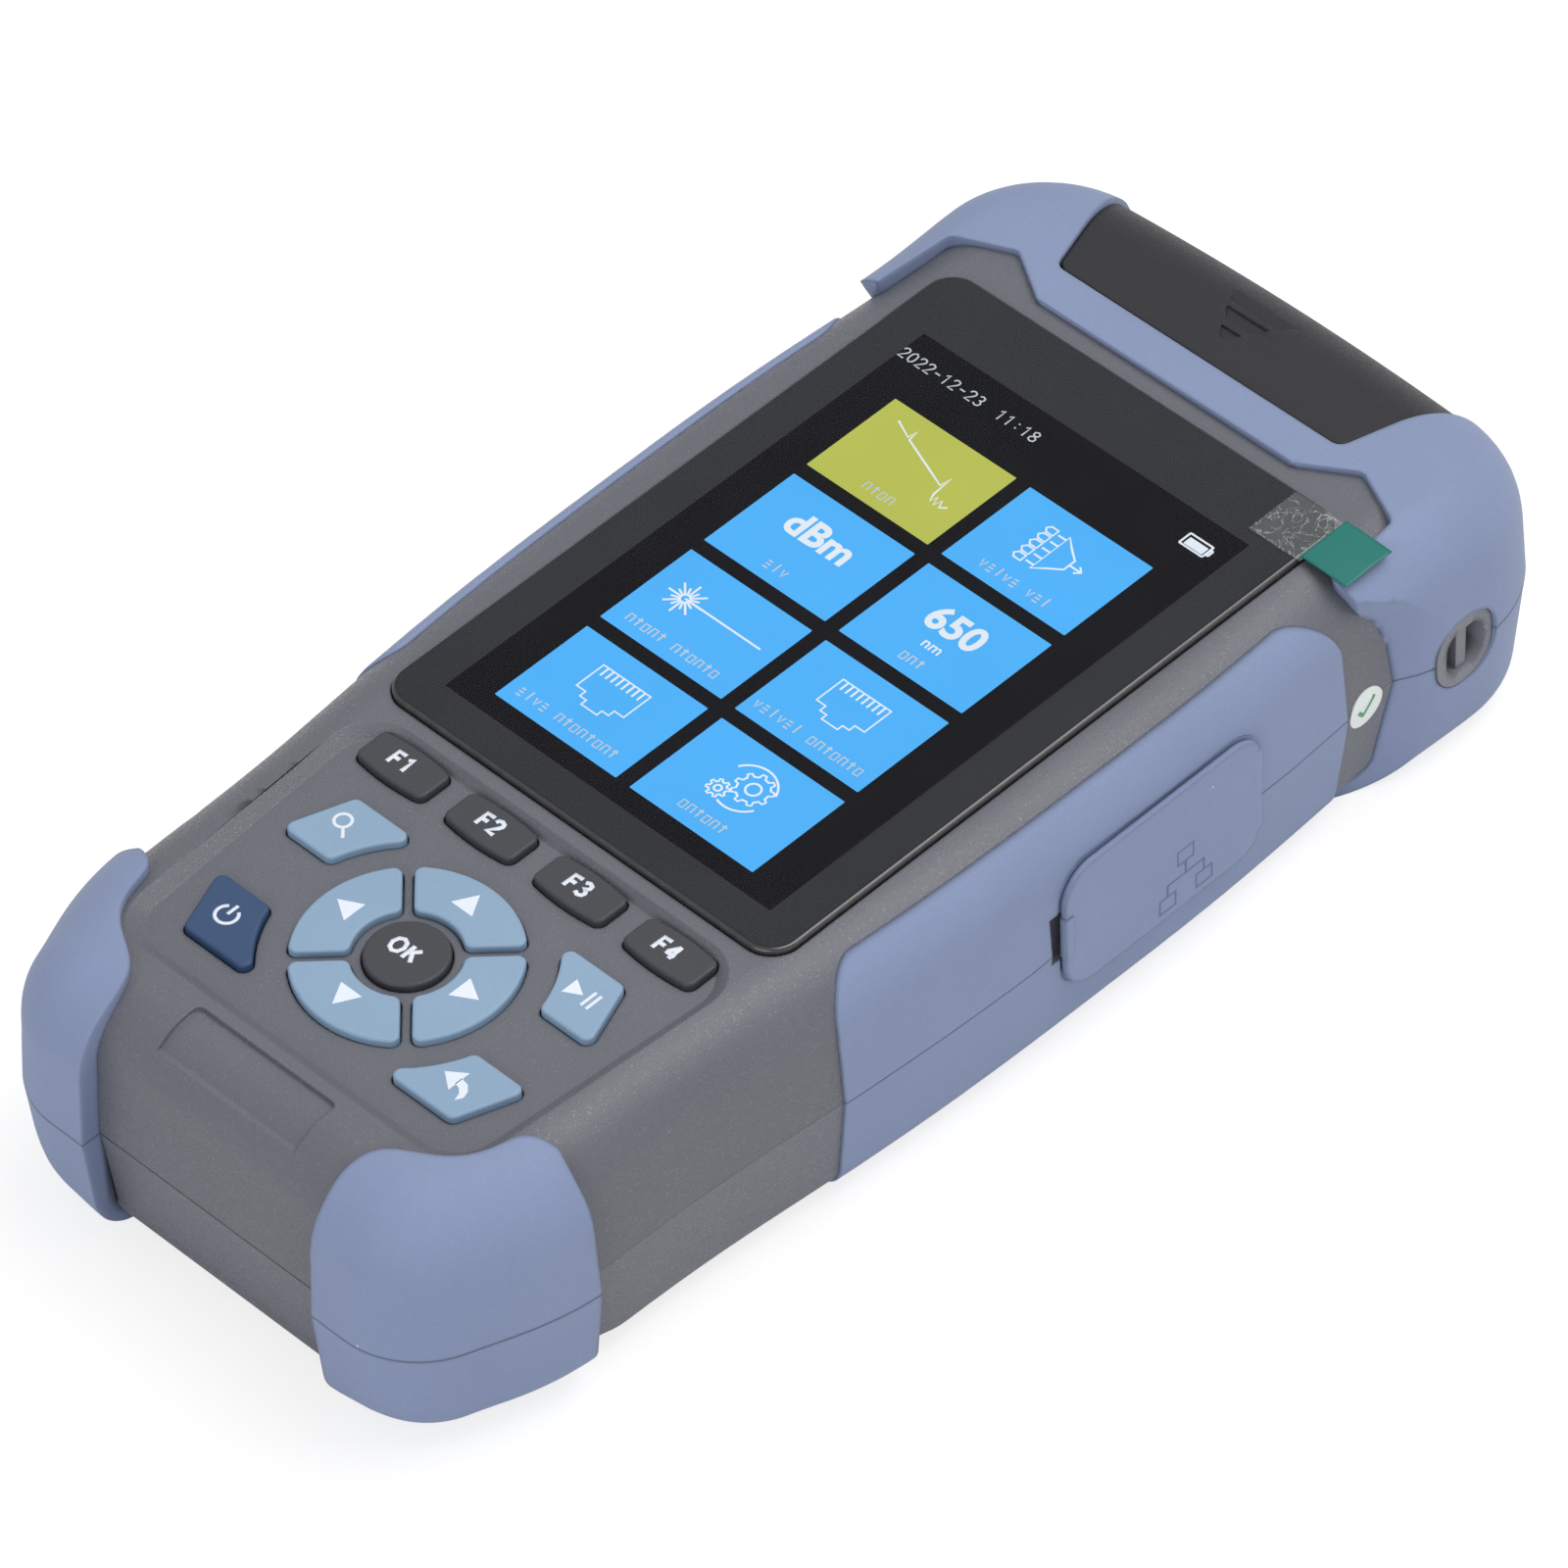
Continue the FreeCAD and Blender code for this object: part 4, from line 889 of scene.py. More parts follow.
def ring_points(x, y, radius, start=0.0, end=360.0, steps=28):
    """Points of an arc, or of a closed circle."""
    points = arc((x, y), radius, start, end, steps)
    if end - start == 360.0:
        points[-1] = points[0]
    return points


def gear_outline(x, y, radius, teeth, depth):
    """Closed outline of a cog."""
    points = []
    for i in range(teeth):
        for part, reach in ((0.0, 0.0), (0.28, 0.0), (0.42, depth), (0.72, depth), (0.86, 0.0)):
            angle = 2 * math.pi * (i + part) / teeth
            points.append((x + (radius + reach) * math.cos(angle), y + (radius + reach) * math.sin(angle)))
    return points + points[:1]


def socket_sign():
    """Outline of a modular socket with its eight contacts."""
    lines = [[(-3.6, 2.9), (3.6, 2.9), (3.6, -1.3), (2.2, -1.3), (2.2, -2.2), (1.2, -2.2), (1.2, -3.0),
              (-1.2, -3.0), (-1.2, -2.2), (-2.2, -2.2), (-2.2, -1.3), (-3.6, -1.3), (-3.6, 2.9)]]
    for i in range(8):
        x = -2.8 + 0.8 * i
        lines.append([(x, 2.8), (x, 1.5)])
    return lines


def trace_sign():
    """Falling trace of a fibre with two reflections and the noise at its end."""
    return [[(-6.6, 4.3), (-4.0, 3.1), (-3.8, 4.4), (-3.6, 2.9), (1.6, 0.9), (3.9, 0.0), (4.1, 1.7), (4.3, -1.4),
             (4.7, -2.5), (5.0, -1.5), (5.4, -2.7), (5.8, -1.6), (6.2, -2.6), (6.9, -2.0)]]


def branch_sign():
    """Bundle of fibres that meet in one coupler."""
    lines = []
    for i in range(5):
        y = 2.6 - 1.3 * i
        lines.append([(-2.2, y - 0.5), (-3.2, y - 0.5), (-3.6, y), (-3.2, y + 0.5), (-2.2, y + 0.5), (-2.2, y - 0.5)])
        lines.append([(-1.8, y), (-0.6, y)])
    lines.append([(-0.6, 3.2), (-0.6, -3.2), (0.8, -2.0), (2.3, -0.9), (2.3, 0.9), (0.8, 2.0), (-0.6, 3.2)])
    lines.append([(2.3, 0.0), (4.0, 0.0)])
    lines.append([(3.4, 0.6), (4.1, 0.0), (3.4, -0.6)])
    return lines


def burst_sign():
    """Light source with its rays and its beam."""
    lines = []
    for i in range(16):
        angle = 2 * math.pi * i / 16
        near, far = 0.7, (2.5, 1.7)[i % 2]
        lines.append([(-4.3 + reach * math.cos(angle), reach * math.sin(angle)) for reach in (near, far)])
    lines.append([(-4.3, 0.0), (7.2, 0.0)])
    lines.append(ring_points(-4.3, 0.0, 0.6, steps=12))
    return lines


def gears_sign():
    """Two cogs, for settings."""
    return [gear_outline(0.9, 0.5, 1.9, 9, 0.5), ring_points(0.9, 0.5, 0.9, steps=16),
            gear_outline(-2.1, -1.9, 1.0, 8, 0.35), ring_points(-2.1, -1.9, 0.45, steps=12),
            ring_points(0.2, 0.2, 3.4, 20.0, 150.0, 18), ring_points(0.2, 0.0, 3.4, 250.0, 330.0, 12)]


# Strokes of the drawn letters, on a grid one high
LETTERS = {
    "0": [[(0.3, 1), (0.08, 0.82), (0.03, 0.5), (0.08, 0.18), (0.3, 0), (0.52, 0.18), (0.57, 0.5), (0.52, 0.82),
           (0.3, 1)]],
    "1": [[(0.1, 0.78), (0.34, 0.98), (0.34, 0)]],
    "2": [[(0.04, 0.76), (0.12, 0.94), (0.3, 1), (0.5, 0.92), (0.55, 0.74), (0.46, 0.54), (0.05, 0.02),
           (0.58, 0.02)]],
    "3": [[(0.06, 0.88), (0.28, 1), (0.5, 0.9), (0.52, 0.7), (0.4, 0.56), (0.24, 0.53), (0.46, 0.47), (0.56, 0.3),
           (0.5, 0.1), (0.28, 0), (0.03, 0.13)]],
    "4": [[(0.44, 0), (0.44, 1)], [(0.46, 0.98), (0.04, 0.32)], [(0.0, 0.28), (0.62, 0.28)]],
    "8": [[(0.3, 0.54), (0.1, 0.66), (0.08, 0.88), (0.3, 1), (0.52, 0.88), (0.5, 0.66), (0.3, 0.54), (0.05, 0.34),
           (0.06, 0.1), (0.3, 0), (0.54, 0.1), (0.55, 0.34), (0.3, 0.54)]],
    "-": [[(0.08, 0.48), (0.52, 0.48)]],
    ":": [[(0.3, 0.18), (0.3, 0.3)], [(0.3, 0.66), (0.3, 0.78)]],
    "F": [[(0.06, 0), (0.06, 0.94), (0.58, 0.94)], [(0.06, 0.5), (0.5, 0.5)]],
    "O": [[(0.4, 1), (0.12, 0.86), (0, 0.5), (0.12, 0.14), (0.4, 0), (0.68, 0.14), (0.8, 0.5), (0.68, 0.86),
           (0.4, 1)]],
    "K": [[(0.06, 0), (0.06, 1)], [(0.6, 0.98), (0.08, 0.42)], [(0.26, 0.6), (0.64, 0.02)]],
}


def stroked(text, height, x, y, pitch=0.78):
    """Lines of drawn lettering, centred on a point; all measures are in metres."""
    lines = []
    left = x - height * (pitch * (len(text) - 1) + 0.6) / 2
    for i, letter in enumerate(text):
        for stroke in LETTERS[letter]:
            lines.append([(left + height * (pitch * i + px), y + height * (py - 0.5), 0.0) for px, py in stroke])
    return lines


# Meaningless signs that fill the captions, on a grid one high, and the step from one to the next
GLYPHS = (
    [[(0, 0), (0, 1), (0.62, 1), (0.62, 0)]],
    [[(0.3, 0), (0.3, 1.3)]],
    [[(0, 0), (0, 0.95), (0.6, 0.95), (0.6, 0), (0, 0)]],
    [[(0, 0.5), (0.6, 0.5)], [(0, 0), (0.6, 0)], [(0, 0.95), (0.5, 0.95)]],
    [[(0.3, 0), (0.3, 1.2)], [(0, 0.9), (0.6, 0.9)]],
    [[(0, 0.95), (0.3, 0), (0.6, 0.95)]],
)
GLYPH_STEP = 1.04


def caption_lines(word_lengths, x, y, size, seed):
    """Row of meaningless strokes that stands for a caption, centred on a point."""
    count = sum(word_lengths) + len(word_lengths) - 1
    left = -GLYPH_STEP * count / 2
    lines = []
    index = 0
    for length in word_lengths:
        for i in range(length):
            for stroke in GLYPHS[(seed * 5 + index * index * 3 + i) % len(GLYPHS)]:
                lines.append([(left + GLYPH_STEP * index + px, py - 0.5) for px, py in stroke])
            index += 1
        index += 1
    return shifted(lines, x, y, scale=size)


# The menu: the size of a tile and the middles of its columns and rows
TILE = (mm(18.55), mm(14.15))
COLUMNS = (mm(-10.5), mm(10.12))
ROWS = tuple(mm(32.6 - 16.13 * i) for i in range(4))
# Heights of the picture's layers over the lens, and the thickness of a mark
TILE_LIFT, CHOSEN_LIFT, SIGN_LIFT, GAUGE_LIFT, FIGURE_LIFT = mm(0.012), mm(0.016), mm(0.018), mm(0.02), mm(0.024)
MARK = mm(0.012)
# Caption words of each tile, by the number of their letters, row by row
CAPTIONS = (((4,), (5, 3)), ((3,), (3,)), ((5, 6), (6, 7)), ((4, 8), (6,)))
# Figures on the tiles: text, height and middle in millimetres, and how much bolder their strokes are
FIGURES = (("dBm", 3.5, -10.5, 18.1, 0.16), ("650", 3.5, 10.1, 18.1, 0.16), ("nm", 1.5, 10.1, 14.5, 0.02))
# The status line's height on the screen, and the battery gauge's parts: middle, width and height
STATUS_Y = mm(45.5)
GAUGE = ((20.55, 45.35, 3.4, 1.9), (22.5, 45.35, 0.3, 0.9))


class TESTER_OT_picture(bpy.types.Operator):
    """Makes the lit picture: a menu of eight tiles with signs, the clock and the battery gauge"""
    bl_idname = "tester.picture"
    bl_label = "Screen picture"
    bl_options = {"REGISTER", "UNDO"}

    def execute(self, context):
        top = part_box("screen_lens")[1].z
        white = glowing("mark_light", colours().mark, 0.95, 0.08)
        made = self.tiles(top) + [
            ribbons("sign_lines", self.signs() + self.gauge(), mm(0.26), MARK, white),
            ribbons("caption_lines", self.small_text(), mm(0.2), MARK,
                    glowing("caption_light", colours().mark, 0.66, 0.1))]
        for piece in made[-2:]:
            piece.data.transform(Matrix.Translation((0, 0, top + SIGN_LIFT)))
        fill = rounded_rectangle(mm(2.7), mm(1.2), mm(0.05), (mm(20.5), mm(45.35)), 2)
        made.append(prisms("gauge_fill", [fill], top, top + GAUGE_LIFT, white))
        for i, (text, size, x, y, bold) in enumerate(FIGURES):
            made.append(lettering("figures_%d" % i, text, mm(size), (mm(x), mm(y)), top + FIGURE_LIFT,
                                  MARK, white, mm(bold)))
        ride(join("screen_picture", made), HOUSING)
        return {"FINISHED"}

    def tiles(self, top):
        """The grid of tiles and the chosen one over its first place."""
        middle = ((COLUMNS[0] + COLUMNS[1]) / 2, (ROWS[0] + ROWS[-1]) / 2)
        light = glowing("tile_light", colours().tile, 1.0)
        plate = prisms("tile_plate", [rounded_rectangle(*TILE, mm(0.1), steps=2)], 0.0, TILE_LIFT, light)
        grid = run_geometry(plate, tile_group(), {
            "Columns": len(COLUMNS), "Rows": len(ROWS), "Column Pitch": COLUMNS[1] - COLUMNS[0],
            "Row Pitch": ROWS[0] - ROWS[1], "Material": light}, "screen_tiles")
        grid.data.transform(Matrix.Translation((middle[0], middle[1], top)))
        chosen = prisms("tile_chosen", [rounded_rectangle(*TILE, mm(0.1), (COLUMNS[0], ROWS[0]), 2)],
                        top, top + CHOSEN_LIFT, glowing("tile_chosen_light", colours().tile_chosen, 1.0))
        return [grid, chosen]

    def signs(self):
        """Lines of the tiles' signs."""
        lines = []
        for row, column, sign, lift in ((0, 0, trace_sign, 0.5), (0, 1, branch_sign, 1.1), (2, 0, burst_sign, 1.1),
                                        (2, 1, socket_sign, 1.1), (3, 0, socket_sign, 1.1), (3, 1, gears_sign, 1.1)):
            lines += shifted(sign(), COLUMNS[column], ROWS[row] + mm(lift))
        return lines

    def gauge(self):
        """Lines of the battery gauge."""
        lines = []
        for x, y, width, height in GAUGE:
            outline = rounded_rectangle(mm(width), mm(height), mm(0.1), (mm(x), mm(y)), 2)
            lines.append([(px, py, 0.0) for px, py in outline + outline[:1]])
        return lines

    def small_text(self):
        """Lines of the tiles' captions, the date and the time."""
        lines = []
        for row, tiles in enumerate(CAPTIONS):
            for column, words in enumerate(tiles):
                lines += caption_lines(words, COLUMNS[column], ROWS[row] - mm(5.0), 1.12, row * 3 + column)
        lines += stroked("2022-12-23", mm(1.6), mm(-18.2), STATUS_Y, 0.8)
        return lines + stroked("11:18", mm(1.6), mm(-6.6), STATUS_Y, 0.8)


def film_material():
    """Clear transit film: almost all light passes; its creases are bumped, and drawn paler and less clear along their
    lines as a painted highlight.
    """
    material, tree, principled = new_material("creased_film")
    crease = noise(tree, object_place(tree), 330.0, 3.0, 1.6)
    away = calculate(tree, "ABSOLUTE", calculate(tree, "SUBTRACT", crease, 0.5))
    # Along each crease the film is made less clear, so its pale colour shows there as a painted highlight on the fold
    painted_fold_highlight = add(tree, "ShaderNodeMapRange", {"Value": away, "From Min": 0.0, "From Max": 0.014,
                                            "To Min": 0.4, "To Max": 0.07}).outputs[0]
    bump = add(tree, "ShaderNodeBump", {"Height": crease, "Distance": mm(0.3)}).outputs[0]
    feed(tree, principled, {"Base Color": (0.55, 0.6, 0.58, 1.0), "Roughness": 0.15,
                            "Specular IOR Level": 0.3, "Alpha": painted_fold_highlight, "Normal": bump})
    return material


def sheet_material():
    """The film where it lies flat and well stuck."""
    material, tree, principled = new_material("flat_film")
    haze = noise(tree, object_place(tree), 120.0, 6.0)
    feed(tree, principled, {"Base Color": (0.3, 0.31, 0.33, 1.0), "Roughness": ranged(tree, haze, 0.1, 0.3),
                            "Alpha": ranged(tree, haze, 0.004, 0.012)})
    return material


def sheet_mesh(name, low, high, thickness, columns, rows, height, material):
    """Thin closed sheet over a rectangle, whose underside lies at height(x, y)."""
    form = bmesh.new()
    layers = []
    for lift in (0.0, thickness):
        layer = []
        for j in range(rows + 1):
            y = low[1] + (high[1] - low[1]) * j / rows
            for i in range(columns + 1):
                x = low[0] + (high[0] - low[0]) * i / columns
                layer.append(form.verts.new((x, y, height(x, y) + lift)))
        layers.append(layer)
    wide = columns + 1
    for j in range(rows):
        for i in range(columns):
            a = j * wide + i
            for layer in layers:
                form.faces.new((layer[a], layer[a + 1], layer[a + 1 + wide], layer[a + wide]))
    rim = list(range(wide)) + [wide * (j + 1) - 1 for j in range(1, rows + 1)]
    rim += [wide * rows + i for i in range(columns - 1, -1, -1)] + [wide * j for j in range(rows - 1, 0, -1)]
    for a, b in zip(rim, rim[1:] + rim[:1]):
        form.faces.new((layers[0][a], layers[0][b], layers[1][b], layers[1][a]))
    bmesh.ops.recalc_face_normals(form, faces=form.faces)
    for face in form.faces:
        face.smooth = True
    return made_from(form, name, material)


# The film's creased corner from left to right, and where the tab begins and starts to curl
CORNER_SPAN = (mm(22.9), mm(30.6))
TAB_START = mm(30.1)
CURL_START = mm(31.4)


class TESTER_OT_film(bpy.types.Operator):
    """Makes the transit film, its creased corner and the green tab that pulls it off"""
    bl_idname = "tester.film"
    bl_label = "Transit film"
    bl_options = {"REGISTER", "UNDO"}

    def execute(self, context):
        low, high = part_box("screen_film")
        middle = ((low.x + high.x) / 2, (low.y + high.y) / 2)
        outline = rounded_rectangle(high.x - low.x, high.y - low.y, mm(3.2), middle, 8)
        film = prisms("film_sheet", [outline], low.z + mm(0.045), high.z - mm(0.01), sheet_material())
        ride(film, HOUSING)
        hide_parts("screen_film")
        tab_low, tab_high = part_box("film_pull_tab")
        base = high.z + mm(0.01)

        def wrinkle(x, y):
            phase = 900.0 * (x - tab_low.x) + 420.0 * (y - tab_low.y)
            return base + mm(0.035) * (1.0 + math.sin(phase) * math.cos(700.0 * y - 250.0 * x))

        def curl(x, y):
            beyond = max(0.0, (x - CURL_START) / (tab_high.x - CURL_START))
            return base + mm(0.05) - mm(0.2) * beyond ** 1.6 + mm(0.06) * math.sin(800.0 * y) * beyond

        patch = sheet_mesh("film_corner", (CORNER_SPAN[0], tab_low.y - mm(0.6)),
                           (CORNER_SPAN[1], tab_high.y - mm(0.35)), mm(0.02), 40, 40, wrinkle, film_material())
        green = moulded("tab_green", colours().tab, 0.38, 0.5, 0.004, 0.03, 0.0, 0.02)
        tab = sheet_mesh("pull_tab", (TAB_START, tab_low.y), (tab_high.x - mm(0.2), tab_high.y), mm(0.08),
                         24, 16, curl, green)
        ride(patch, HOUSING)
        ride(tab, HOUSING)
        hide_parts("film_pull_tab")
        return {"FINISHED"}


# Keys and their legends


def filled(name, outlines, material):
    """Painted shapes, from outlines in millimetres; they reach a little into the key."""
    scaled = [[(mm(x), mm(y)) for x, y in outline] for outline in outlines]
    return prisms(name, scaled, -mm(0.02), sizes().paint, material)


# The keys of darker plastic, and the places of the function keys' legends along their row, in millimetres
DARK_KEYS = ("key_f1", "key_f2", "key_f3", "key_f4", "key_ok")
FUNCTION_X = (-20.6, -7.0, 6.4, 19.8)
# Legends of the other keys: filled outlines and lines, in millimetres
LEGENDS = {
    "key_up": ([((-0.3, -44.3), (-1.9, -47.1), (1.3, -47.1))], []),
    "key_down": ([((-2.1, -63.2), (1.1, -63.2), (-0.5, -66.1))], []),
    "key_left": ([((-11.1, -55.1), (-8.3, -56.8), (-8.3, -53.6))], []),
    "key_right": ([((7.6, -56.8), (10.5, -55.1), (7.6, -53.5))], []),
    "key_run": ([((16.0, -48.3), (18.1, -47.1), (16.0, -45.9))],
                [[(18.85, -48.3), (18.85, -45.9)], [(19.65, -48.3), (19.65, -45.9)]]),
    "key_zoom": ([], [ring_points(-19.0, -46.6, 1.0, steps=32), [(-18.2, -47.4), (-17.15, -48.45)]]),
    "key_power": ([], [ring_points(-18.1, -64.7, 1.3, 125.0, 415.0, 32), [(-18.1, -63.0), (-18.1, -64.6)]]),
    "key_back": ([((15.1, -64.7), (17.3, -63.1), (17.3, -66.3)),
                  ((17.2, -64.2), (17.2, -65.2), (17.9, -65.35), (18.5, -65.9), (18.8, -66.9),
                   (19.3, -66.0), (19.0, -65.1), (18.3, -64.4))], []),
}


class TESTER_OT_keys(bpy.types.Operator):
    """Finishes the thirteen keys and prints their legends"""
    bl_idname = "tester.keys"
    bl_label = "Keys"
    bl_options = {"REGISTER", "UNDO"}

    def execute(self, context):
        finish = finishes()
        for node in nodes_named("key_"):
            kind = "dark_key" if node in DARK_KEYS else "power_key" if node == "key_power" else "light_key"
            paint(node, finish[kind])
        ink = plain_paint("legend_paint", colours().legend)
        height, thickness = sizes().legend_height, 2 * sizes().paint
        for i, x in enumerate(FUNCTION_X, 1):
            node = "key_f%d" % i
            legend = ribbons("legend_f%d" % i, stroked("F%d" % i, height, mm(x), mm(-36.15)),
                             mm(0.55), thickness, ink)
            ride(settle(legend, node), node + "_body")
        legend = ribbons("legend_ok", stroked("OK", height, mm(-0.6), mm(-55.3), 1.06), mm(0.54), thickness, ink)
        ride(settle(legend, "key_ok"), "key_ok_body")
        for node, (areas, lines) in LEGENDS.items():
            made = []
            if areas:
                made.append(filled(node + "_area", areas, ink))
            if lines:
                flat = [[(mm(x), mm(y), 0.0) for x, y in line] for line in lines]
                made.append(ribbons(node + "_lines", flat, mm(0.42), thickness, ink))
            legend = join(node.replace("key_", "legend_"), made)
            ride(settle(legend, node), node + "_body")
        return {"FINISHED"}


# Cover, flaps and what lies behind them


def cut(piece, cutters):
    """Cuts closed shapes out of a piece for good."""
    for cutter in cutters:
        modifier = piece.modifiers.new("cut", "BOOLEAN")
        modifier.operation = "DIFFERENCE"
        modifier.object = cutter
        modifier.solver = "EXACT"
    mesh = evaluated_mesh(piece)
    piece.modifiers.clear()
    piece.data = mesh
    for cutter in cutters:
        bpy.data.objects.remove(cutter)
    return piece


# Grip bars of the cover, in millimetres: half widths at the far and near edge, then the places of those edges
GRIP_BARS = ((5.0, 3.6, 79.0, 76.9), (3.1, 1.9, 75.9, 74.2), (1.5, 0.25, 73.2, 71.5))


class TESTER_OT_cover(bpy.types.Operator):
    """Makes the flip cover with the grip bars moulded into it"""
    bl_idname = "tester.cover"
    bl_label = "Port cover"
    bl_options = {"REGISTER", "UNDO"}

    def execute(self, context):
        plastic = finishes()["cover"]
        cover = cad_copy("port_cover", "flip_cover")
        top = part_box("port_cover")[1].z
        surface = surface_of(cover)
        cutters = []
        for far_half, near_half, far, near in GRIP_BARS:
            middle = Vector((0.0, mm((far + near) / 2), BEYOND))
            level = surface.ray_cast(middle, Vector((0, 0, -1)))[0].z
            outline = [(mm(-near_half), mm(near)), (mm(near_half), mm(near)),
                       (mm(far_half), mm(far)), (mm(-far_half), mm(far))]
            cutters.append(prisms("grip_bar", [outline], level - sizes().groove_depth, top + mm(1.0), plastic))
        dress(smooth_by_angle(cut(cover, cutters)), "port_cover", plastic, "cover_body")
        return {"FINISHED"}


# The network sign, as (y, z) in millimetres: half a box's size, the middles of the boxes, and the joining lines
SIGN_BOX = (1.25, 1.0)
SIGN_BOXES = ((22.9, 17.2), (25.8, 11.6), (20.0, 11.6))
SIGN_LINES = (((22.9, 16.2), (22.9, 14.3)), ((20.0, 12.6), (20.0, 14.3), (25.8, 14.3), (25.8, 12.6)))


class TESTER_OT_flaps(bpy.types.Operator):
    """Makes the two soft side flaps; the one over the network socket carries its sign"""
    bl_idname = "tester.flaps"
    bl_label = "Side flaps"
    bl_options = {"REGISTER", "UNDO"}

    def execute(self, context):
        rubber, s = finishes()["flap"], sizes()
        for side, node, body in ((1, "network_port_flap", "network_flap_body"),
                                 (-1, "charge_port_flap", "charge_flap_body")):
            flap = thinned(cad_copy(node, node.replace("port_flap", "flap_skin")), side, s.flap_root, s.flap_share)
            dress(exact_shading(flap), node, rubber, body)
        wide, high = SIGN_BOX
        corners = ((-wide, -high), (wide, -high), (wide, high), (-wide, high), (-wide, -high))
        lines = [[(y + dy, z + dz) for dy, dz in corners] for y, z in SIGN_BOXES] + list(SIGN_LINES)
        mark = side_mark("network_sign", [[(mm(y), mm(z)) for y, z in line] for line in lines], mm(0.32), mm(0.05),
                         plain_paint("sign_paint", linear(108, 119, 148), 0.6), bpy.data.objects["network_flap_skin"])
        ride(mark, "network_flap_body")
        return {"FINISHED"}


def metal(name, colour, roughness, scale=900.0):
    """Turned or plated metal with fine tool marks."""
    material, tree, principled = new_material(name)
    marks = noise(tree, object_place(tree), scale, 4.0)
    bump = add(tree, "ShaderNodeBump", {"Height": marks, "Distance": mm(0.01)}).outputs[0]
    feed(tree, principled, {
        "Base Color": toned(tree, colour, ranged(tree, marks, 0.88, 1.1)),
        "Roughness": ranged(tree, marks, roughness * 0.7, roughness * 1.4),
        "Normal": bump, "Metallic": 1.0})
    return material


class TESTER_OT_inside(bpy.types.Operator):
    """Finishes the optical ports, sockets, boards, battery and screws behind the cover and flaps"""
    bl_idname = "tester.inside"
    bl_label = "Ports and inner parts"
    bl_options = {"REGISTER", "UNDO"}

    def execute(self, context):
        board = moulded("board_mask", linear(18, 74, 44), 0.35, 0.6, 0.01, 0.06, 0.0, Coat_Weight=0.3)
        plated = metal("plated_finish", linear(196, 198, 200), 0.28)
        turned = metal("turned_finish", linear(200, 202, 206), 0.22)
        steel = metal("screw_finish", linear(96, 98, 102), 0.35)
        for nodes, material in (
                (("port_tray",), finishes()["cover"]),
                (("dome_sheet", "battery_pack", "buzzer", "charge_socket"), black_moulding()),
                (("main_board", "io_board"), board),
                (("network_jack", "data_socket", "optical_module"), plated),
                (("power_meter_port", "test_port", "fault_locator_port"), turned),
                (("case_screws", "board_screws", "io_board_screws", "port_cover_pin"), steel)):
            for node in nodes_named(*nodes):
                paint(node, material)
        return {"FINISHED"}


class TESTER_OT_sticker(bpy.types.Operator):
    """Finishes the round inspection sticker and prints a tick on it"""
    bl_idname = "tester.sticker"
    bl_label = "Inspection sticker"
    bl_options = {"REGISTER", "UNDO"}

    def execute(self, context):
        node = "inspection_sticker"
        paper = paint(node, moulded("sticker_paper", colours().paper, 0.6, 0.08, 0.003, 0.03, 0.0, 0.03))
        low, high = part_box(node)
        y, z = (low.y + high.y) / 2, (low.z + high.z) / 2
        tick = [(y + mm(dy), z + mm(dz)) for dy, dz in ((-1.3, 0.1), (-0.4, -1.0), (1.3, 1.2))]
        mark = side_mark("sticker_tick", [divided(tick)], mm(0.5), mm(0.03),
                         plain_paint("sticker_ink", colours().tick), paper)
        ride(mark, HOUSING)
        return {"FINISHED"}


# Studio


def floor_material():
    """Pale table that the camera sees as nearly white, with the unit's soft shadow left on it."""
    material, tree, principled = new_material("pale_table")
    tint = toned(tree, (1.0, 1.0, 1.0), ranged(tree, noise(tree, object_place(tree), 4.0, 2.0), 0.83, 0.85))
    seen = add(tree, "ShaderNodeLightPath").outputs["Is Camera Ray"]
    feed(tree, principled, {
        "Base Color": mix_colour(tree, seen, tint, (0.3, 0.3, 0.3, 1.0)), "Roughness": 0.9,
        "Specular IOR Level": 0.1, "Emission Strength": calculate(tree, "MULTIPLY", seen, 0.76),
        "Emission Color": (1.0, 1.0, 1.0, 1.0)})
    return material


# The lamps: name, size, place and tint; the point they shine at; and how far the table reaches from the middle
LAMPS = (
    ("main", (0.9, 0.9), (0.2, 0.38, 1.05), (1.0, 0.99, 0.97)),
    ("fill", (0.9, 0.6), (0.25, -1.0, 0.42), (0.97, 0.98, 1.0)),
    ("edge", (0.35, 0.35), (0.85, 0.58, 0.57), (1.0, 1.0, 1.0)),
)
LAMP_TARGET = (0.0, 0.0, 0.015)
TABLE_REACH = 3.0


def lamp(name, size, power, place, tint):
    """Soft rectangular lamp that shines at the unit."""
    light = bpy.data.lights.new(name, "AREA")
    light.shape = "RECTANGLE"
    light.size, light.size_y = size
    light.energy = power
    light.color = tint
    made = link(name, light)
    made.location = place
    made.rotation_euler = (Vector(LAMP_TARGET) - Vector(place)).to_track_quat("-Z", "Y").to_euler()
    return made


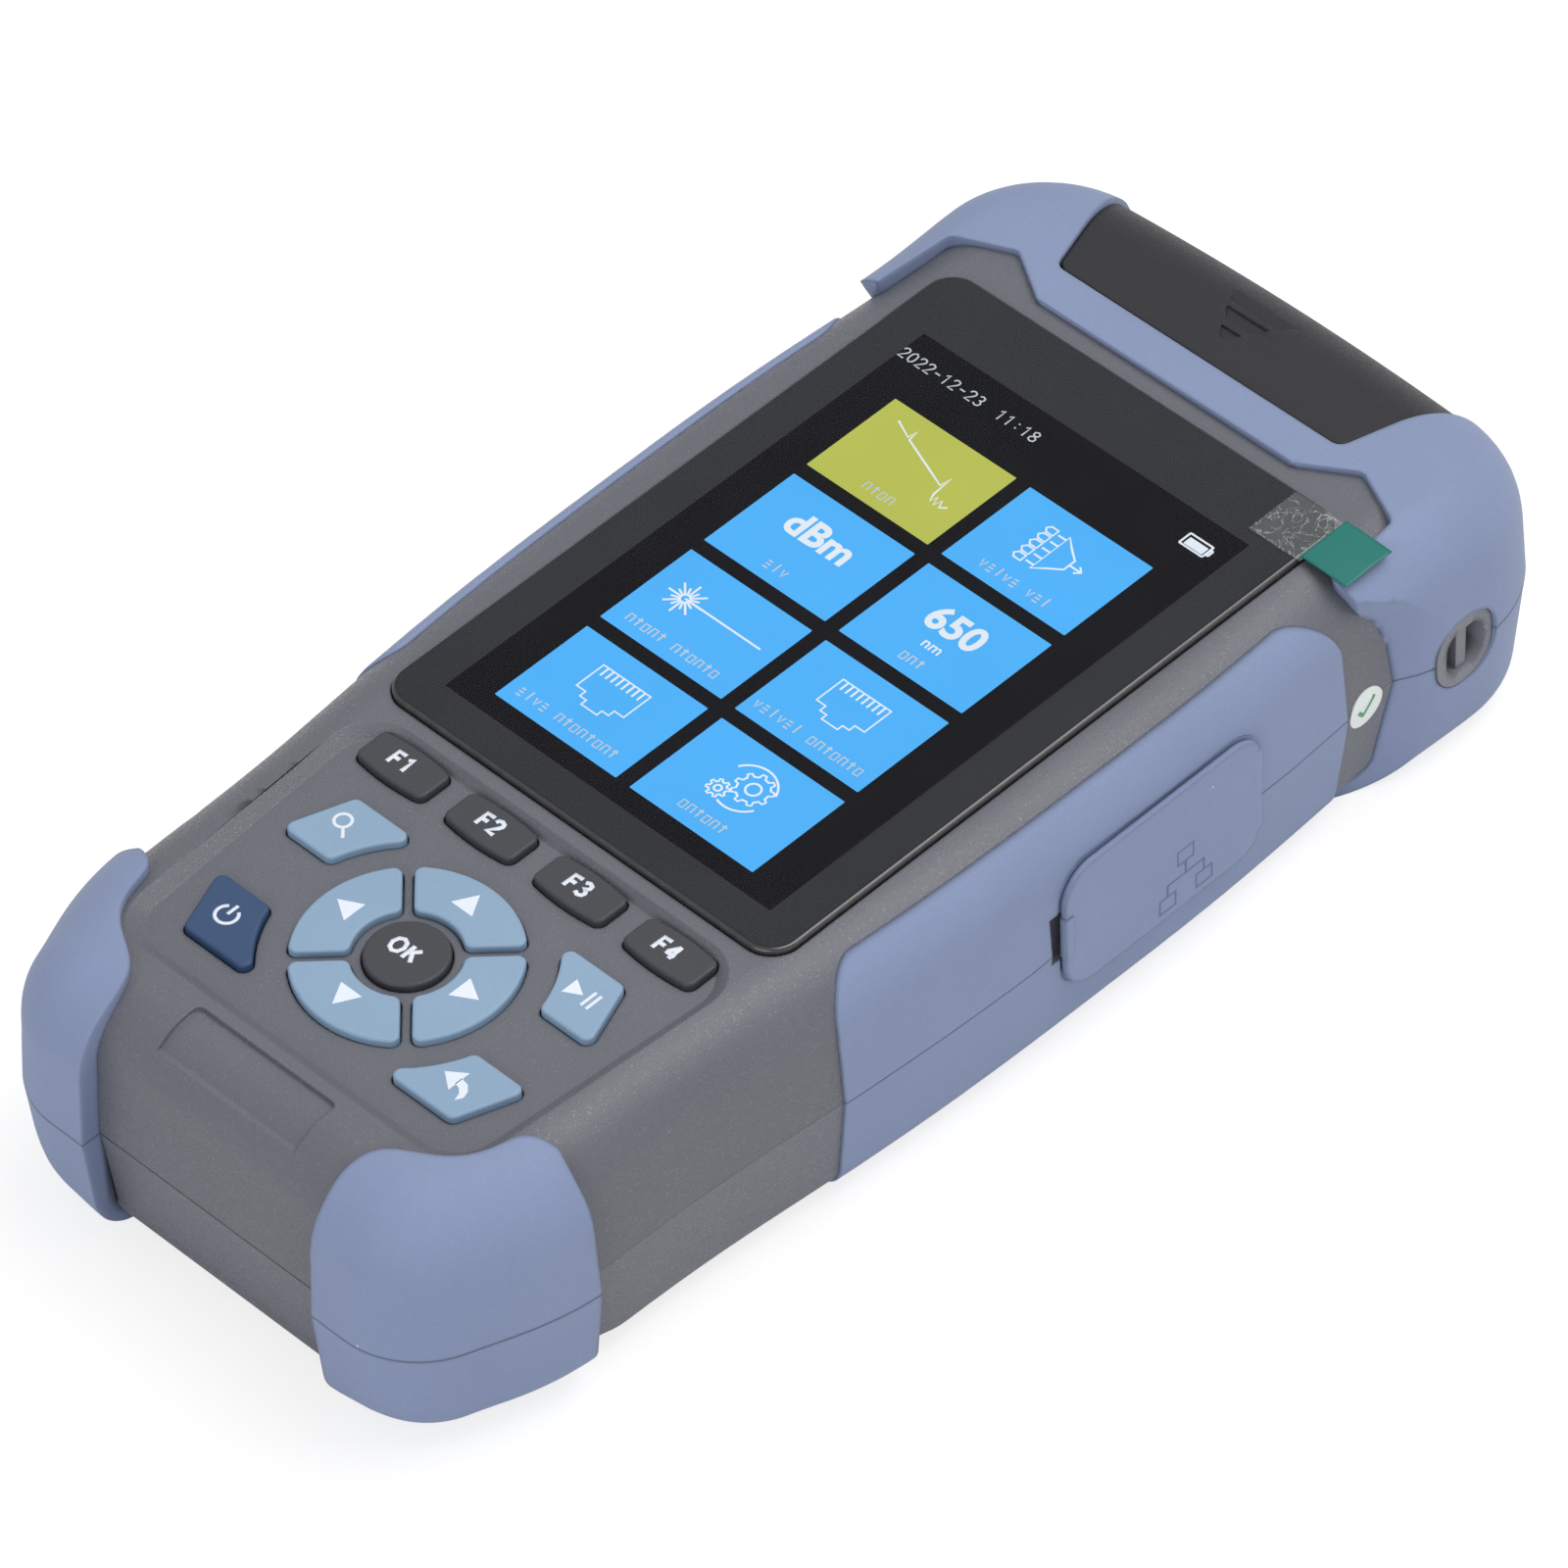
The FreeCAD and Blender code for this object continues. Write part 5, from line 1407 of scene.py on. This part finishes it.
class TESTER_OT_studio(bpy.types.Operator):
    """Sets up the table, the soft lamps, the surrounding light and the camera"""
    bl_idname = "tester.studio"
    bl_label = "Studio"
    bl_options = {"REGISTER", "UNDO"}

    def execute(self, context):
        studio = context.scene.tester_studio
        form = bmesh.new()
        bmesh.ops.create_grid(form, x_segments=2, y_segments=2, size=TABLE_REACH)
        table = made_from(form, "table", floor_material())
        table.data.transform(Matrix.Translation((0, 0, cad_low.z)))
        for name, size, place, tint in LAMPS:
            lamp(name + "_lamp", size, getattr(studio, name + "_power"), place, tint)
        context.scene.world = self.surround(studio.sky)
        data = bpy.data.cameras.new("camera")
        data.lens = studio.lens
        data.sensor_width = 36.0
        data.clip_start, data.clip_end = 0.01, 20.0
        camera = link("camera", data)
        camera.location = studio.place
        camera.rotation_euler = Euler(studio.turn, "XYZ")
        context.scene.camera = camera
        context.scene.view_settings.view_transform = "Standard"
        return {"FINISHED"}

    def surround(self, strength):
        """Even light from all round, which the camera itself sees as white."""
        world = bpy.data.worlds.new("surround")
        world.use_nodes = True
        tree = world.node_tree
        tree.nodes.clear()
        seen = add(tree, "ShaderNodeLightPath").outputs["Is Camera Ray"]
        even = add(tree, "ShaderNodeBackground", {"Color": (0.96, 0.98, 1.0, 1.0), "Strength": strength})
        white = add(tree, "ShaderNodeBackground", {"Color": (1.0, 1.0, 1.0, 1.0), "Strength": 1.0})
        mixed = add(tree, "ShaderNodeMixShader", {0: seen, 1: even.outputs[0], 2: white.outputs[0]})
        add(tree, "ShaderNodeOutputWorld", {"Surface": mixed.outputs[0]})
        return world


OPERATORS = (TESTER_OT_casing, TESTER_OT_lens, TESTER_OT_picture, TESTER_OT_film, TESTER_OT_keys,
             TESTER_OT_cover, TESTER_OT_flaps, TESTER_OT_inside, TESTER_OT_sticker, TESTER_OT_studio)


class TESTER_PT_panel(bpy.types.Panel):
    """Lists the steps that dress the tester, and its colours and sizes"""
    bl_idname = "TESTER_PT_panel"
    bl_label = "Fibre Tester"
    bl_space_type = "VIEW_3D"
    bl_region_type = "UI"
    bl_category = "Tester"

    def draw(self, context):
        column = self.layout.column(align=True)
        for operator in OPERATORS:
            column.operator(operator.bl_idname, text=operator.bl_label)
        for name in GROUPS:
            group = getattr(context.scene, name)
            box = self.layout.box()
            for key in group.__annotations__:
                box.prop(group, key)


GROUPS = {"tester_colours": TesterColours, "tester_sizes": TesterSizes, "tester_studio": TesterStudio}


def register():
    """Adds the colours and sizes, the steps and the panel."""
    for group in GROUPS.values():
        bpy.utils.register_class(group)
    for operator in OPERATORS:
        bpy.utils.register_class(operator)
    bpy.utils.register_class(TESTER_PT_panel)
    for name, group in GROUPS.items():
        setattr(bpy.types.Scene, name, bpy.props.PointerProperty(type=group))


def unregister():
    """Takes away what register added."""
    for name in GROUPS:
        delattr(bpy.types.Scene, name)
    bpy.utils.unregister_class(TESTER_PT_panel)
    for operator in reversed(OPERATORS):
        bpy.utils.unregister_class(operator)
    for group in reversed(GROUPS.values()):
        bpy.utils.unregister_class(group)


def main():
    """Dresses the unit step by step."""
    register()
    bpy.ops.tester.studio()
    bpy.ops.tester.casing()
    bpy.ops.tester.lens()
    bpy.ops.tester.picture()
    bpy.ops.tester.film()
    bpy.ops.tester.keys()
    bpy.ops.tester.cover()
    bpy.ops.tester.flaps()
    bpy.ops.tester.inside()
    bpy.ops.tester.sticker()


if __name__ == "__main__":
    main()
